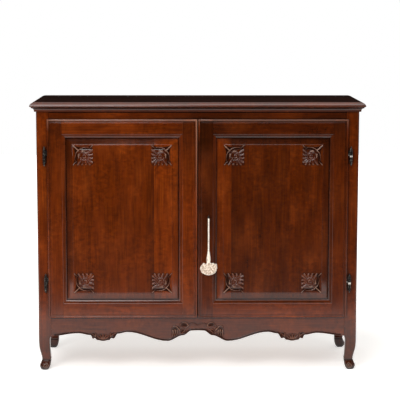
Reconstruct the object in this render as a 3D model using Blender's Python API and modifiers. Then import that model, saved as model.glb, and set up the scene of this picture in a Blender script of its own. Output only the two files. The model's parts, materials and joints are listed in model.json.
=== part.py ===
"""A two-door credenza on cabriole legs, made as its separate joinery pieces.

Metres, +Z up, front towards -Y. The origin is on the floor under the middle of the piece.
Frames are joined with tenons, panels float in grooves, and the doors hang on lift-off hinges.
"""
import math

import bmesh
import bpy
from mathutils import Matrix, Vector

# Overall sizes
TOP_WIDTH = 1.400
HEIGHT = 1.143
CARCASS_DEPTH = 0.465
TOP_OVERHANG = 0.025
TOP_BACK_OVERHANG = 0.006

# Clearances
SEAT = 0.0003
DOOR_GAP = 0.0015
LIP_CLEARANCE = 0.0005
PANEL_PLAY = 0.0008
PIN_PLAY = 0.00035
BOLT_PLAY = 0.0005
BOLT_MORTISE_PLAY = 0.0018
WELD = 0.00001

# Top and cornice
TOP_THICKNESS = 0.0220
TOP_ROLL_WIDTH = 0.0260
TOP_ROLL_HEIGHT = 0.0185
TOP_LOWER_BEVEL = 0.0050
ROLL_STEPS = 6
CORNICE_HEIGHT = 0.0185
CORNICE_REACH = 0.0180
CORNICE_FILLET = 0.0065
CORNICE_LIST = 0.0030
COVE_STEPS = 5

# Posts and cabriole legs
POST_SIZE = 0.0530
POST_ROUND = 0.0100
POST_ARRIS = 0.0015
LEG_TOP = 0.1500
WAIST_HEIGHT = 0.1200
WAIST_OUTER = 0.0015
WAIST_INNER = 0.0395
ANKLE_HEIGHT = 0.0540
ANKLE_OUTER = 0.0135
ANKLE_INNER = 0.0505
SOLE_OUTER = 0.0140
SOLE_INNER = 0.0390
LEG_ROUND = 0.0110
LEG_STEPS = 6
SCROLL_RADIUS = 0.0190
SCROLL_WIDTH = 0.0240
SCROLL_INSET = 0.0250
SCROLL_EYE_RADIUS = 0.0085
SCROLL_EYE_REACH = 0.0030

# Front rail, apron and tenons
STOCK = 0.0340
TENON_LENGTH = 0.0300
TENON_THICKNESS = 0.0080
TENON_SHOULDER = 0.0120
TENON_ROOT = 0.0100
BEAD_RADIUS = 0.0045
BEAD_INSET = 0.0052
BEAD_SUNK = 0.0015
BEAD_RESOLUTION = 1
SCALLOP_STEPS = 4
# Scallops of the apron: share of its half length, height above the leg's top
SCALLOPS = (
    (0.000, 0.023),
    (0.042, 0.022),
    (0.100, 0.0015),
    (0.206, -0.023),
    (0.480, 0.016),
    (0.545, 0.009),
    (0.575, -0.012),
    (0.590, -0.01),
    (0.646, -0.022),
    (0.702, -0.01),
    (0.716, -0.013),
    (0.731, 0.003),
    (0.815, 0.011),
    (1.000, -0.001),
)

# Sides and back
SIDE_INSET = 0.004
SIDE_STOCK = 0.024
SIDE_TOP_RAIL = 0.100
SIDE_BOTTOM_RAIL_TOP = 0.290
SIDE_GROOVE_SETBACK = 0.0100
# Scallops of the side rail: share of its half length, height above the leg's top
SIDE_SCALLOPS = (
    (0.00, 0.012),
    (0.45, 0.045),
    (1.00, 0.002),
)
BACK_RAIL_STOCK = 0.024
BACK_TOP_RAIL = 0.070
BACK_BOTTOM_RAIL = 0.072
BACK_BOARD_THICKNESS = 0.012
BACK_BOARD_COUNT = 3

# Inside boards
BOARD_THICKNESS = 0.018
BEARER_SIZE = 0.020
BEARER_SETBACK = 0.022
SHELF_TOP = 0.658
SHELF_SETBACK = 0.078

# Doors
DOOR_BOTTOM = 0.229
TOP_RAIL_SIGHT = 0.050
DOOR_PROUD = 0.010
DOOR_THICKNESS = 0.026
LIP_LAP = 0.008
FRAME_WIDTH = 0.078
OUTER_MOULD = 0.0150
LIP_BEAD_RADIUS = 0.0043
LIP_BEAD_END = 350
QUIRK_DEPTH = 0.0025
INNER_MOULD = 0.0160
MOULD_DEPTH = 0.0085
MOULD_QUIRK = 0.0015
MOULD_STEPS = 6
MEETING_REBATE = 0.0004
GROOVE_LIP = 0.0020
GROOVE_WIDTH = 0.0070
GROOVE_DEPTH = 0.0100
DOOR_TENON_LENGTH = 0.042
DOOR_TENON_LOW = 0.014
DOOR_TENON_HIGH = 0.056

# Fielded panels and their carved corners
BEVEL_WIDTH = 0.0270
BEVEL_RISE = 0.0045
FIELD_STEP = 0.0025
FIELD_STEP_WIDTH = 0.0015
CARVING_SIZE = 0.0840
CARVING_WAIST = 0.0130
CARVING_RELIEF = 0.0028
CARVING_STEPS = 5
CARVING_MARGIN = 0.0012
BOSS_LENGTH = 0.0220
BOSS_WIDTH = 0.0140
BOSS_RELIEF = 0.0050
BOSS_RINGS = 6

# Lift-off hinges
LOWER_HINGE_RISE = 0.1480
UPPER_HINGE_DROP = 0.1550
HINGE_RADIUS = 0.0065
HINGE_HALF_LENGTH = 0.0410
HINGE_OUT = 0.0115
HINGE_FORWARD = 0.0078
PIN_RADIUS = 0.00285
PIN_LENGTH = 0.0230
PIN_POINT = 0.0012
LEAF_THICKNESS = 0.0024
LEAF_DEPTH = 0.0300
LEAF_LOW = 0.0030
LEAF_HIGH = 0.0235
LEAF_SETBACK = 0.0040
LEAF_ROOT = 0.0030
# Finial of a hinge half: share of the barrel's radius, share of the half's length
FINIAL = (
    (1.00, 0.60),
    (0.70, 0.65),
    (0.90, 0.71),
    (0.60, 0.80),
    (0.36, 0.88),
    (0.52, 0.94),
    (0.30, 0.98),
    (0.00, 1.00),
)

# Lock and key
KEY_X = 0.0450
KEY_HEIGHT = 0.6580
KEY_SHANK_RADIUS = 0.0030
KEY_SHANK_OUT = 0.0080
KEY_DEPTH = 0.0120
BIT_LENGTH = 0.0130
BIT_THICKNESS = 0.0040
BIT_WIDTH = 0.0070
BIT_SETBACK = 0.0035
BOW_RADIUS = 0.0100
BOW_WIRE = 0.0022
BOW_STEPS = 20
BOW_WIRE_STEPS = 8
LOCK_EDGE_GAP = 0.0008
LOCK_WIDTH = 0.0660
LOCK_DROP = 0.0250
LOCK_RISE = 0.0350
LOCK_DEPTH = 0.0180
LOCK_WALL = 0.0015
LOCK_BOLT_LOW = 0.0100
LOCK_BOLT_HEIGHT = 0.0100
LOCK_BOLT_THICKNESS = 0.0060
LOCK_BOLT_SETBACK = 0.0040
LOCK_BOLT_LENGTH = 0.0615
NOTCH_LEFT = 0.0060
NOTCH_RIGHT = 0.0160
NOTCH_HEIGHT = 0.0045
KEEPER_WIDTH = 0.0210
KEEPER_WALL = 0.0035
KEEPER_EDGE_GAP = 0.0008

# Key tassel
CORD_RADIUS = 0.0034
CORD_LENGTH = 0.1370
CORD_POINTS = 14
CORD_RESOLUTION = 2
HEAD_LENGTH = 0.0500
SKIRT_WIDTH = 0.0720
SKIRT_DROP = 0.0490
SKIRT_HORN_ANGLE = 44.0
SKIRT_THICKNESS = 0.0140
SKIRT_TUFTS = 7
SKIRT_TUFT_HEIGHT = 0.0050
SKIRT_STEPS = 14
# Wrapped head of the tassel: radius, share of its length
HEAD_PROFILE = (
    (0.0042, 0.00),
    (0.0050, 0.12),
    (0.0070, 0.40),
    (0.0085, 0.72),
    (0.0078, 1.00),
)

# Slide bolts inside the left door
SLIDE_X = 0.0450
SLIDE_RADIUS = 0.0035
SLIDE_LENGTH = 0.1080
SLIDE_END_GAP = 0.0040
SLIDE_KNOB_RADIUS = 0.0030
SLIDE_KNOB_LENGTH = 0.0130
SLIDE_KNOB_AT = 0.0650
BOLT_MORTISE_DEPTH = 0.0220
GUIDE_PLATE = 0.0020
GUIDE_WIDTH = 0.0240
GUIDE_LENGTH = 0.1000
GUIDE_END_GAP = 0.0080
STAPLE_WIDTH = 0.0160
STAPLE_HEIGHT = 0.0120
STAPLE_INSET = 0.0080
STAPLE_WALL = 0.0030

# Facets
ROUND_STEPS = 16
SMALL_ROUND_STEPS = 12
CORNER_STEPS = 4
CUT_MARGIN = 0.0050
AXIS_MARK = 0.0500

# Places worked out from the sizes
LEFT = -1
RIGHT = 1
POST_OUT = TOP_WIDTH / 2 - TOP_OVERHANG
POST_IN = POST_OUT - POST_SIZE
UNDER_TOP = HEIGHT - TOP_THICKNESS
KEY_REACH = DOOR_PROUD + KEY_SHANK_OUT + 2 * (BOW_RADIUS + BOW_WIRE)
FRONT = (max(KEY_REACH, TOP_OVERHANG) - CARCASS_DEPTH - TOP_BACK_OVERHANG) / 2
REAR = FRONT + CARCASS_DEPTH
DOOR_FACE = FRONT - DOOR_PROUD
DOOR_BACK = DOOR_FACE + DOOR_THICKNESS
DOOR_OUT = POST_IN + LIP_LAP
DOOR_TOP = UNDER_TOP - TOP_RAIL_SIGHT
DOOR_WIDTH = DOOR_OUT - DOOR_GAP
DOOR_HEIGHT = DOOR_TOP - DOOR_BOTTOM
OPENING_TOP = DOOR_TOP - LIP_LAP
OPENING_BOTTOM = DOOR_BOTTOM + LIP_LAP
FACE_WIDTH = FRAME_WIDTH - INNER_MOULD
GROOVE_FRONT = MOULD_DEPTH + GROOVE_LIP
GROOVE_BACK = GROOVE_FRONT + GROOVE_WIDTH
HINGE_HEIGHTS = {"lower": DOOR_BOTTOM + LOWER_HINGE_RISE, "upper": DOOR_TOP - UPPER_HINGE_DROP}
HINGE_X = DOOR_OUT + HINGE_OUT
HINGE_Y = FRONT - HINGE_FORWARD
SIDE_FACE = POST_OUT - SIDE_INSET
SIDE_BACK = SIDE_FACE - SIDE_STOCK
SIDE_GROOVE_BACK = SIDE_GROOVE_SETBACK + GROOVE_WIDTH
BACK_FACE = REAR - BACK_BOARD_THICKNESS - SEAT
TASSEL_Y = FRONT - KEY_REACH - SEAT - CORD_RADIUS
HEAD_TOP = KEY_HEIGHT - CORD_LENGTH - SEAT
SKIRT_TOP = HEAD_TOP - HEAD_LENGTH - SEAT
SLIDE_Y = DOOR_BACK + SEAT + GUIDE_PLATE + PIN_PLAY + SLIDE_RADIUS
# An outline drawn in x and z, stood up with its thickness along y
UPRIGHT = Matrix.Rotation(math.radians(90), 4, "X")
# An outline drawn in y and z, stood up with its thickness along x
EDGEWISE = Matrix(((0, 0, 1, 0), (1, 0, 0, 0), (0, 1, 0, 0), (0, 0, 0, 1)))

for old in list(bpy.data.objects):
    bpy.data.objects.remove(old)
PIECES = bpy.data.collections.new("credenza")
CUTTERS = bpy.data.collections.new("cutters")
bpy.context.scene.collection.children.link(PIECES)
bpy.context.scene.collection.children.link(CUTTERS)


def finish(name, colour, roughness, metallic=0.0):
    """A plain finish: linear colour, roughness and metallic value."""
    material = bpy.data.materials.new(name)
    material.use_nodes = True
    shader = material.node_tree.nodes["Principled BSDF"]
    shader.inputs["Base Color"].default_value = (*colour, 1.0)
    shader.inputs["Roughness"].default_value = roughness
    shader.inputs["Metallic"].default_value = metallic
    material.diffuse_color = (*colour, 1.0)
    return material


WALNUT = finish("waxed_walnut", (0.115, 0.022, 0.005), 0.32)
INSIDE_WOOD = finish("plain_inside_wood", (0.200, 0.100, 0.040), 0.60)
IRON = finish("dark_iron", (0.030, 0.026, 0.023), 0.45, 1.0)
COTTON = finish("cream_cotton", (0.800, 0.690, 0.500), 0.90)


# Pieces, their carriers and their cutters

def hang(item, parent):
    """Parent an object to a carrier without moving it."""
    if parent is not None:
        item.parent = parent
        item.matrix_parent_inverse = Matrix.Translation(-Vector(parent["axis_at"]))


def carrier(name, place, parent=None):
    """An empty on a joint's axis, which carries what moves with that joint."""
    empty = bpy.data.objects.new(name, None)
    empty.empty_display_size = AXIS_MARK
    PIECES.objects.link(empty)
    empty["axis_at"] = place
    hang(empty, parent)
    empty.location = place
    return empty


def piece(name, mesh, material, parent=None):
    """One sub-part of the credenza."""
    made = bpy.data.objects.new(name, mesh)
    PIECES.objects.link(made)
    mesh.materials.clear()
    mesh.materials.append(material)
    hang(made, parent)
    return made


def shape(target, operation, mesh):
    """Cut a piece with a mesh, join the mesh to it, or keep only what the mesh holds."""
    tool = bpy.data.objects.new(mesh.name, mesh)
    CUTTERS.objects.link(tool)
    tool.hide_render = True
    tool.display_type = "WIRE"
    hang(tool, target.parent)
    boolean = target.modifiers.new(mesh.name, "BOOLEAN")
    boolean.operation = operation
    boolean.solver = "EXACT"
    boolean.object = tool


# Meshes

def to_mesh(name, bm):
    """Close a bmesh into a mesh whose faces point outwards."""
    bmesh.ops.recalc_face_normals(bm, faces=bm.faces)
    mesh = bpy.data.meshes.new(name)
    bm.to_mesh(mesh)
    bm.free()
    return mesh


def boxes(name, *spans):
    """Separate boxes in one mesh, each given by two opposite corners."""
    bm = bmesh.new()
    for one, other in spans:
        low = Vector([min(pair) for pair in zip(one, other)])
        high = Vector([max(pair) for pair in zip(one, other)])
        place = Matrix.Translation((low + high) / 2) @ Matrix.Diagonal((*(high - low), 1.0))
        bmesh.ops.create_cube(bm, size=1.0, matrix=place)
    return to_mesh(name, bm)


def cylinder(name, start, end, radius, steps=SMALL_ROUND_STEPS):
    """A round bar between two points."""
    run = Vector(end) - Vector(start)
    place = Matrix.Translation((Vector(start) + Vector(end)) / 2)
    turn = run.to_track_quat("Z", "Y").to_matrix().to_4x4()
    bm = bmesh.new()
    bmesh.ops.create_cone(bm, cap_ends=True, segments=steps, radius1=radius, radius2=radius,
                          depth=run.length, matrix=place @ turn)
    return to_mesh(name, bm)


def skin(name, sections, ring=False):
    """A body drawn over like sections, capped at its ends or closed into a ring."""
    bm = bmesh.new()
    rows = [[bm.verts.new(point) for point in section] for section in sections]
    pairs = list(zip(rows, rows[1:]))
    if ring:
        pairs.append((rows[-1], rows[0]))
    else:
        bm.faces.new(rows[0])
        bm.faces.new(rows[-1])
    for one, other in pairs:
        for here in range(len(one)):
            bm.faces.new((one[here - 1], one[here], other[here], other[here - 1]))
    return to_mesh(name, bm)


def merged(name, meshes):
    """Several separate closed meshes as one mesh."""
    bm = bmesh.new()
    for mesh in meshes:
        bm.from_mesh(mesh)
        bpy.data.meshes.remove(mesh)
    return to_mesh(name, bm)


def curve_through(name, points, dimensions):
    """A curve with one straight-sided spline."""
    curve = bpy.data.curves.new(name, "CURVE")
    curve.dimensions = dimensions
    spline = curve.splines.new("POLY")
    spline.points.add(len(points) - 1)
    for knot, point in zip(spline.points, points):
        knot.co = (*Vector(point).to_3d(), 1.0)
    return curve


def welded(curve):
    """The mesh of a curve, with its loose caps welded on."""
    drawn = bpy.data.objects.new(curve.name, curve)
    PIECES.objects.link(drawn)
    graph = bpy.context.evaluated_depsgraph_get()
    mesh = bpy.data.meshes.new_from_object(drawn.evaluated_get(graph))
    bpy.data.objects.remove(drawn)
    bm = bmesh.new()
    bm.from_mesh(mesh)
    bpy.data.meshes.remove(mesh)
    bmesh.ops.remove_doubles(bm, verts=bm.verts, dist=WELD)
    return bm


def plate(name, outline, low, high, lie):
    """A flat outline between two levels of its own normal, laid by a matrix."""
    curve = curve_through(name, outline, "2D")
    curve.splines[0].use_cyclic_u = True
    curve.fill_mode = "BOTH"
    curve.extrude = (high - low) / 2
    bm = welded(curve)
    bmesh.ops.transform(bm, matrix=lie @ Matrix.Translation((0, 0, (low + high) / 2)), verts=bm.verts)
    return to_mesh(name, bm)


def tube(name, points, radius, resolution):
    """A round bar along a line of points, with closed ends."""
    curve = curve_through(name, points, "3D")
    curve.bevel_depth = radius
    curve.bevel_resolution = resolution
    curve.use_fill_caps = True
    return to_mesh(name, welded(curve))


def turned(name, profile, place, material, parent=None):
    """A turned piece: a profile of radius and height, from top to bottom, spun about Z."""
    bm = bmesh.new()
    knots = [bm.verts.new((radius, 0.0, height)) for radius, height in profile]
    for above, below in zip(knots, knots[1:]):
        bm.edges.new((above, below))
    mesh = bpy.data.meshes.new(name)
    bm.to_mesh(mesh)
    bm.free()
    made = piece(name, mesh, material, parent)
    made.location = place
    spin = made.modifiers.new("spin", "SCREW")
    spin.steps = ROUND_STEPS
    spin.render_steps = ROUND_STEPS
    spin.use_merge_vertices = True
    spin.merge_threshold = WELD
    return made


def eased(stations, steps):
    """Points through stations of place and height, level at each station."""
    points = [stations[0]]
    for (start, low), (end, high) in zip(stations, stations[1:]):
        for step in range(1, steps + 1):
            share = step / steps
            rise = (1 - math.cos(math.pi * share)) / 2
            points.append((start + (end - start) * share, low + (high - low) * rise))
    return points


def arc(centre, across, along, start, end, steps):
    """Points on part of an ellipse, from one angle in degrees to another."""
    points = []
    for step in range(steps + 1):
        turn = math.radians(start + (end - start) * step / steps)
        points.append((centre[0] + across * math.cos(turn), centre[1] + along * math.sin(turn)))
    return points


# Carcass

MORTISES = {}


def mortise(post, one, other):
    """Note a pocket that a post gets, a seat wider than what goes into it."""
    low = [min(pair) - SEAT for pair in zip(one, other)]
    high = [max(pair) + SEAT for pair in zip(one, other)]
    MORTISES.setdefault(post, []).append((low, high))


def post_name(side, row):
    return row + ("_left_post" if side == LEFT else "_right_post")


def make_top():
    """Top board: a rolled edge at the front and ends, flush at the back."""
    half = TOP_WIDTH / 2
    tip = HEIGHT - TOP_ROLL_HEIGHT
    roll = arc((TOP_ROLL_WIDTH, tip), TOP_ROLL_WIDTH, TOP_ROLL_HEIGHT, 180, 90, ROLL_STEPS)
    levels = [(TOP_LOWER_BEVEL, UNDER_TOP)] + roll
    sections = []
    for inset, height in levels:
        front = FRONT - TOP_OVERHANG + inset
        back = REAR + TOP_BACK_OVERHANG
        wide = half - inset
        sections.append([(-wide, front, height), (wide, front, height),
                         (wide, back, height), (-wide, back, height)])
    piece("top_board", skin("top_board", sections), WALNUT)


def make_cornice():
    """Cove moulding under the top, mitred at the front corners."""
    high = UNDER_TOP - SEAT
    low = high - CORNICE_HEIGHT
    run = CORNICE_REACH - CORNICE_FILLET
    cove_low = low + CORNICE_LIST
    cove_high = high - CORNICE_LIST
    cove = arc((CORNICE_REACH, cove_low), -run, cove_high - cove_low, 0, 90, COVE_STEPS)
    profile = [(SEAT, low), (CORNICE_FILLET, low)] + cove + [(CORNICE_REACH, high), (SEAT, high)]
    ends = []
    for side in (LEFT, RIGHT):
        ends.append([(side * (POST_OUT + out - SEAT), FRONT - out, z) for out, z in profile])
        front = [(side * (POST_OUT + out), FRONT - out + SEAT, z) for out, z in profile]
        back = [(side * (POST_OUT + out), REAR, z) for out, z in profile]
        name = "cornice_left" if side == LEFT else "cornice_right"
        piece(name, skin(name, [front, back]), WALNUT)
    piece("cornice_front", skin("cornice_front", ends), WALNUT)


def corner_square(outer, inner, outer_round, other_round):
    """Points round a square section, given as distances in from the two outer faces."""
    corners = (
        (outer + outer_round, outer + outer_round, outer_round, 180),
        (inner - other_round, outer + other_round, other_round, 270),
        (inner - other_round, inner - other_round, other_round, 0),
        (outer + other_round, inner - other_round, other_round, 90),
    )
    points = []
    for across, along, radius, start in corners:
        points += arc((across, along), radius, radius, start, start + 90, CORNER_STEPS - 1)
    return points


def make_post(side, row):
    """A corner post that runs down into a cabriole leg with a scrolled toe."""
    name = post_name(side, row)

    def place(inward, depth, height):
        y = FRONT + depth if row == "front" else REAR - depth
        return (side * (POST_OUT - inward), y, height)

    outer = eased([(LEG_TOP, 0.0), (WAIST_HEIGHT, WAIST_OUTER),
                   (ANKLE_HEIGHT, ANKLE_OUTER), (0.0, SOLE_OUTER)], LEG_STEPS)
    inner = eased([(LEG_TOP, POST_SIZE), (WAIST_HEIGHT, WAIST_INNER),
                   (ANKLE_HEIGHT, ANKLE_INNER), (0.0, SOLE_INNER)], LEG_STEPS)
    arris = eased([(LEG_TOP, POST_ARRIS), (WAIST_HEIGHT, LEG_ROUND),
                   (ANKLE_HEIGHT, LEG_ROUND), (0.0, LEG_ROUND)], LEG_STEPS)
    levels = [(UNDER_TOP - SEAT, 0.0, POST_SIZE, POST_ARRIS)]
    for (height, out), (_, into), (_, round_over) in zip(outer, inner, arris):
        levels.append((height, out, into, round_over))
    sections = []
    for height, out, into, round_over in levels:
        square = corner_square(out, into, max(POST_ROUND, round_over), round_over)
        sections.append([place(inward, depth, height) for inward, depth in square])
    post = piece(name, skin(name, sections), WALNUT)

    eye_end = SCROLL_WIDTH / 2 + SCROLL_EYE_REACH
    stations = ((-eye_end, SCROLL_EYE_RADIUS), (-SCROLL_WIDTH / 2, SCROLL_RADIUS),
                (SCROLL_WIDTH / 2, SCROLL_RADIUS), (eye_end, SCROLL_EYE_RADIUS))
    rolls = []
    for across, radius in stations:
        ring = arc((0.0, SCROLL_RADIUS + SEAT), radius, radius, 0, 360, ROUND_STEPS)[:-1]
        step = across / math.sqrt(2)
        roll = []
        for forward, height in ring:
            lean = forward / math.sqrt(2)
            roll.append(place(SCROLL_INSET + step + lean, SCROLL_INSET - step + lean, height))
        rolls.append(roll)
    shape(post, "UNION", skin(name + "_scroll", rolls))
    return post


def x_rail(name, mesh, row, middle, low, high, material):
    """Tenon a rail that runs along x into the posts at its ends."""
    made = piece(name, mesh, material)
    tenons = []
    for side in (LEFT, RIGHT):
        one = (side * (POST_IN - SEAT - TENON_ROOT), middle - TENON_THICKNESS / 2, low)
        other = (side * (POST_IN + TENON_LENGTH), middle + TENON_THICKNESS / 2, high)
        tenons.append((one, other))
        mortise(post_name(side, row), one, other)
    shape(made, "UNION", boxes(name + "_tenons", *tenons))
    return made


def rail_outline(stations, half, top):
    """A rail with a straight top and a scalloped lower edge."""
    edge = [(share * half, LEG_TOP + rise) for share, rise in stations]
    right = eased(edge, SCALLOP_STEPS)
    lower = [(-x, z) for x, z in reversed(right[1:])] + right
    return lower, [(half, top), (-half, top)]


def bolt_mortise(name, mouth, into):
    """The square pocket that a slide bolt enters, from its mouth up or down."""
    half = SLIDE_RADIUS + BOLT_MORTISE_PLAY
    one = (-SLIDE_X - half, SLIDE_Y - half, mouth - into * CUT_MARGIN)
    other = (-SLIDE_X + half, SLIDE_Y + half, mouth + into * BOLT_MORTISE_DEPTH)
    return boxes(name, (one, other))


def make_front_rail():
    """Rail over the doors, with the pocket that the upper slide bolt enters."""
    half = POST_IN - SEAT
    top = UNDER_TOP - SEAT
    mesh = boxes("front_top_rail", ((-half, FRONT, OPENING_TOP), (half, FRONT + STOCK, top)))
    rail = x_rail("front_top_rail", mesh, "front", FRONT + STOCK / 2,
                  OPENING_TOP + TENON_SHOULDER, top - TENON_SHOULDER, WALNUT)
    shape(rail, "DIFFERENCE", bolt_mortise("front_top_rail_bolt_mortise", OPENING_TOP, 1))


def bead_line(edge):
    """A line set in from an edge, without the places where a bead would fold on itself."""
    line = []
    for before, here, after in zip(edge, edge[1:], edge[2:]):
        run = (Vector(after) - Vector(before)).normalized()
        place = Vector(here) + Vector((-run.y, run.x)) * BEAD_INSET
        clear = min((place - Vector(knot)).length for knot in edge)
        apart = not line or (place - line[-1]).length > BEAD_RADIUS
        if apart and clear > BEAD_INSET - SEAT:
            line.append(place)
    return line


def make_apron():
    """Scalloped apron with a bead along its lower edge and the lower slide bolt's pocket."""
    half = POST_IN - SEAT
    lower, top = rail_outline(SCALLOPS, half, OPENING_BOTTOM)
    mesh = plate("front_apron", lower + top, -FRONT - STOCK, -FRONT, UPRIGHT)
    tenon_low = LEG_TOP + TENON_SHOULDER
    apron = x_rail("front_apron", mesh, "front", FRONT + STOCK / 2,
                   tenon_low, OPENING_BOTTOM - TENON_SHOULDER, WALNUT)
    shape(apron, "DIFFERENCE", bolt_mortise("front_apron_bolt_mortise", OPENING_BOTTOM, -1))
    line = [(x, FRONT + BEAD_SUNK, z) for x, z in bead_line(lower)]
    shape(apron, "UNION", tube("front_apron_bead", line, BEAD_RADIUS, BEAD_RESOLUTION))


def fielded(name, across, upright, levels, place, material, parent=None):
    """A raised panel: rectangles at each level of inset and depth, drawn into one body."""
    sections = []
    for inset, depth in levels:
        left, right = across[0] + inset, across[1] - inset
        low, high = upright[0] + inset, upright[1] - inset
        corners = ((left, low), (right, low), (right, high), (left, high))
        sections.append([place(a, b, depth) for a, b in corners])
    return piece(name, skin(name, sections), material, parent)


def panel_levels(groove_front):
    """Tongue, bevel, step and field of a panel, as inset from its edge and depth from the face."""
    tongue = GROOVE_DEPTH - PANEL_PLAY
    front = groove_front + SEAT
    bevel_top = front - BEVEL_RISE
    field = bevel_top - FIELD_STEP
    return [
        (0.0, groove_front + GROOVE_WIDTH - SEAT),
        (0.0, front),
        (tongue, front),
        (tongue + BEVEL_WIDTH, bevel_top),
        (tongue + BEVEL_WIDTH + FIELD_STEP_WIDTH, field),
    ]


def make_side(side):
    """Top rail, shaped bottom rail and fielded panel between a front and a back post."""
    word = "left" if side == LEFT else "right"
    front = FRONT + POST_SIZE + SEAT
    back = REAR - POST_SIZE - SEAT
    middle = (front + back) / 2
    half = (back - front) / 2
    panel_top = UNDER_TOP - SIDE_TOP_RAIL
    face, rear = side * SIDE_FACE, side * SIDE_BACK
    groove = (side * (SIDE_FACE - SIDE_GROOVE_SETBACK), side * (SIDE_FACE - SIDE_GROOVE_BACK))
    tongue_middle = sum(groove) / 2

    lower, top = rail_outline(SIDE_SCALLOPS, half, SIDE_BOTTOM_RAIL_TOP)
    outline = [(y + middle, z) for y, z in lower + top]
    low_name = word + "_side_bottom_rail"
    high_name = word + "_side_top_rail"
    low_mesh = plate(low_name, outline, min(face, rear), max(face, rear), EDGEWISE)
    high_mesh = boxes(high_name, ((face, front, panel_top), (rear, back, UNDER_TOP - SEAT)))
    rails = (
        (low_name, low_mesh, SIDE_BOTTOM_RAIL_TOP - GROOVE_DEPTH, SIDE_BOTTOM_RAIL_TOP + CUT_MARGIN,
         max(LEG_TOP + rise for _, rise in SIDE_SCALLOPS) + TENON_ROOT,
         SIDE_BOTTOM_RAIL_TOP - GROOVE_DEPTH - TENON_SHOULDER),
        (high_name, high_mesh, panel_top + GROOVE_DEPTH, panel_top - CUT_MARGIN,
         panel_top + GROOVE_DEPTH + TENON_SHOULDER, UNDER_TOP - SEAT - TENON_SHOULDER),
    )
    for name, mesh, groove_floor, groove_mouth, tenon_low, tenon_high in rails:
        rail = piece(name, mesh, WALNUT)
        tenons = []
        for row, end, into in (("front", front, -1), ("back", back, 1)):
            one = (tongue_middle - TENON_THICKNESS / 2, end - into * TENON_ROOT, tenon_low)
            other = (tongue_middle + TENON_THICKNESS / 2, end + into * TENON_LENGTH, tenon_high)
            tenons.append((one, other))
            mortise(post_name(side, row), one, other)
        shape(rail, "UNION", boxes(name + "_tenons", *tenons))
        cut = ((groove[0], front - CUT_MARGIN, groove_floor), (groove[1], back + CUT_MARGIN, groove_mouth))
        shape(rail, "DIFFERENCE", boxes(name + "_groove", cut))

    def place(y, z, depth):
        return (side * (SIDE_FACE - depth), y, z)

    reach = GROOVE_DEPTH - PANEL_PLAY
    across = (FRONT + POST_SIZE - reach, REAR - POST_SIZE + reach)
    upright = (SIDE_BOTTOM_RAIL_TOP - reach, panel_top + reach)
    fielded(word + "_side_panel", across, upright, panel_levels(SIDE_GROOVE_SETBACK), place, WALNUT)
    for row, edge, into in (("front", FRONT + POST_SIZE, -1), ("back", REAR - POST_SIZE, 1)):
        one = (groove[0], edge - into * CUT_MARGIN, SIDE_BOTTOM_RAIL_TOP - GROOVE_DEPTH)
        other = (groove[1], edge + into * GROOVE_DEPTH, panel_top + GROOVE_DEPTH)
        MORTISES.setdefault(post_name(side, row), []).append((one, other))


def make_back():
    """Two back rails, and upright boards nailed behind them between the posts."""
    half = POST_IN - SEAT
    top = UNDER_TOP - SEAT
    front = BACK_FACE - BACK_RAIL_STOCK
    low = OPENING_BOTTOM - BACK_BOTTOM_RAIL
    rails = (("back_top_rail", top - BACK_TOP_RAIL, top), ("back_bottom_rail", low, OPENING_BOTTOM))
    for name, bottom, height in rails:
        mesh = boxes(name, ((-half, front, bottom), (half, BACK_FACE, height)))
        x_rail(name, mesh, "back", (front + BACK_FACE) / 2, bottom + TENON_SHOULDER,
               height - TENON_SHOULDER, INSIDE_WOOD)
    width = 2 * half / BACK_BOARD_COUNT
    for number in range(BACK_BOARD_COUNT):
        name = "back_board_%d" % (number + 1)
        left = -half + number * width + SEAT / 2
        span = ((left, REAR - BACK_BOARD_THICKNESS, low), (left + width - SEAT, REAR, top))
        piece(name, boxes(name, span), INSIDE_WOOD)


def make_inside():
    """Bottom board and shelf, each on two bearers."""
    front = FRONT + STOCK + SEAT
    back = BACK_FACE - BACK_RAIL_STOCK - SEAT
    narrow = POST_IN - SEAT
    wide = SIDE_BACK - SEAT
    post_front = FRONT + POST_SIZE + SEAT
    post_back = REAR - POST_SIZE - SEAT
    right = [(narrow, front), (narrow, post_front), (wide, post_front),
             (wide, post_back), (narrow, post_back), (narrow, back)]
    outline = right + [(-x, y) for x, y in reversed(right)]
    floor_low = OPENING_BOTTOM - BOARD_THICKNESS
    mesh = plate("bottom_board", outline, floor_low, OPENING_BOTTOM, Matrix.Identity(4))
    piece("bottom_board", mesh, INSIDE_WOOD)
    shelf_low = SHELF_TOP - BOARD_THICKNESS
    span = ((-narrow, FRONT + SHELF_SETBACK, shelf_low), (narrow, BACK_FACE, SHELF_TOP))
    piece("shelf", boxes("shelf", span), INSIDE_WOOD)
    for side, word in ((LEFT, "left"), (RIGHT, "right")):
        floor_name = word + "_floor_bearer"
        span = ((side * wide, post_front, floor_low - SEAT),
                (side * (wide - BEARER_SIZE), post_back, floor_low - SEAT - BEARER_SIZE))
        piece(floor_name, boxes(floor_name, span), INSIDE_WOOD)
        shelf_name = word + "_shelf_bearer"
        span = ((side * narrow, FRONT + BEARER_SETBACK, shelf_low - SEAT),
                (side * (narrow - BEARER_SIZE), BACK_FACE, shelf_low - SEAT - BEARER_SIZE))
        piece(shelf_name, boxes(shelf_name, span), INSIDE_WOOD)


# Lift-off hinges

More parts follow.
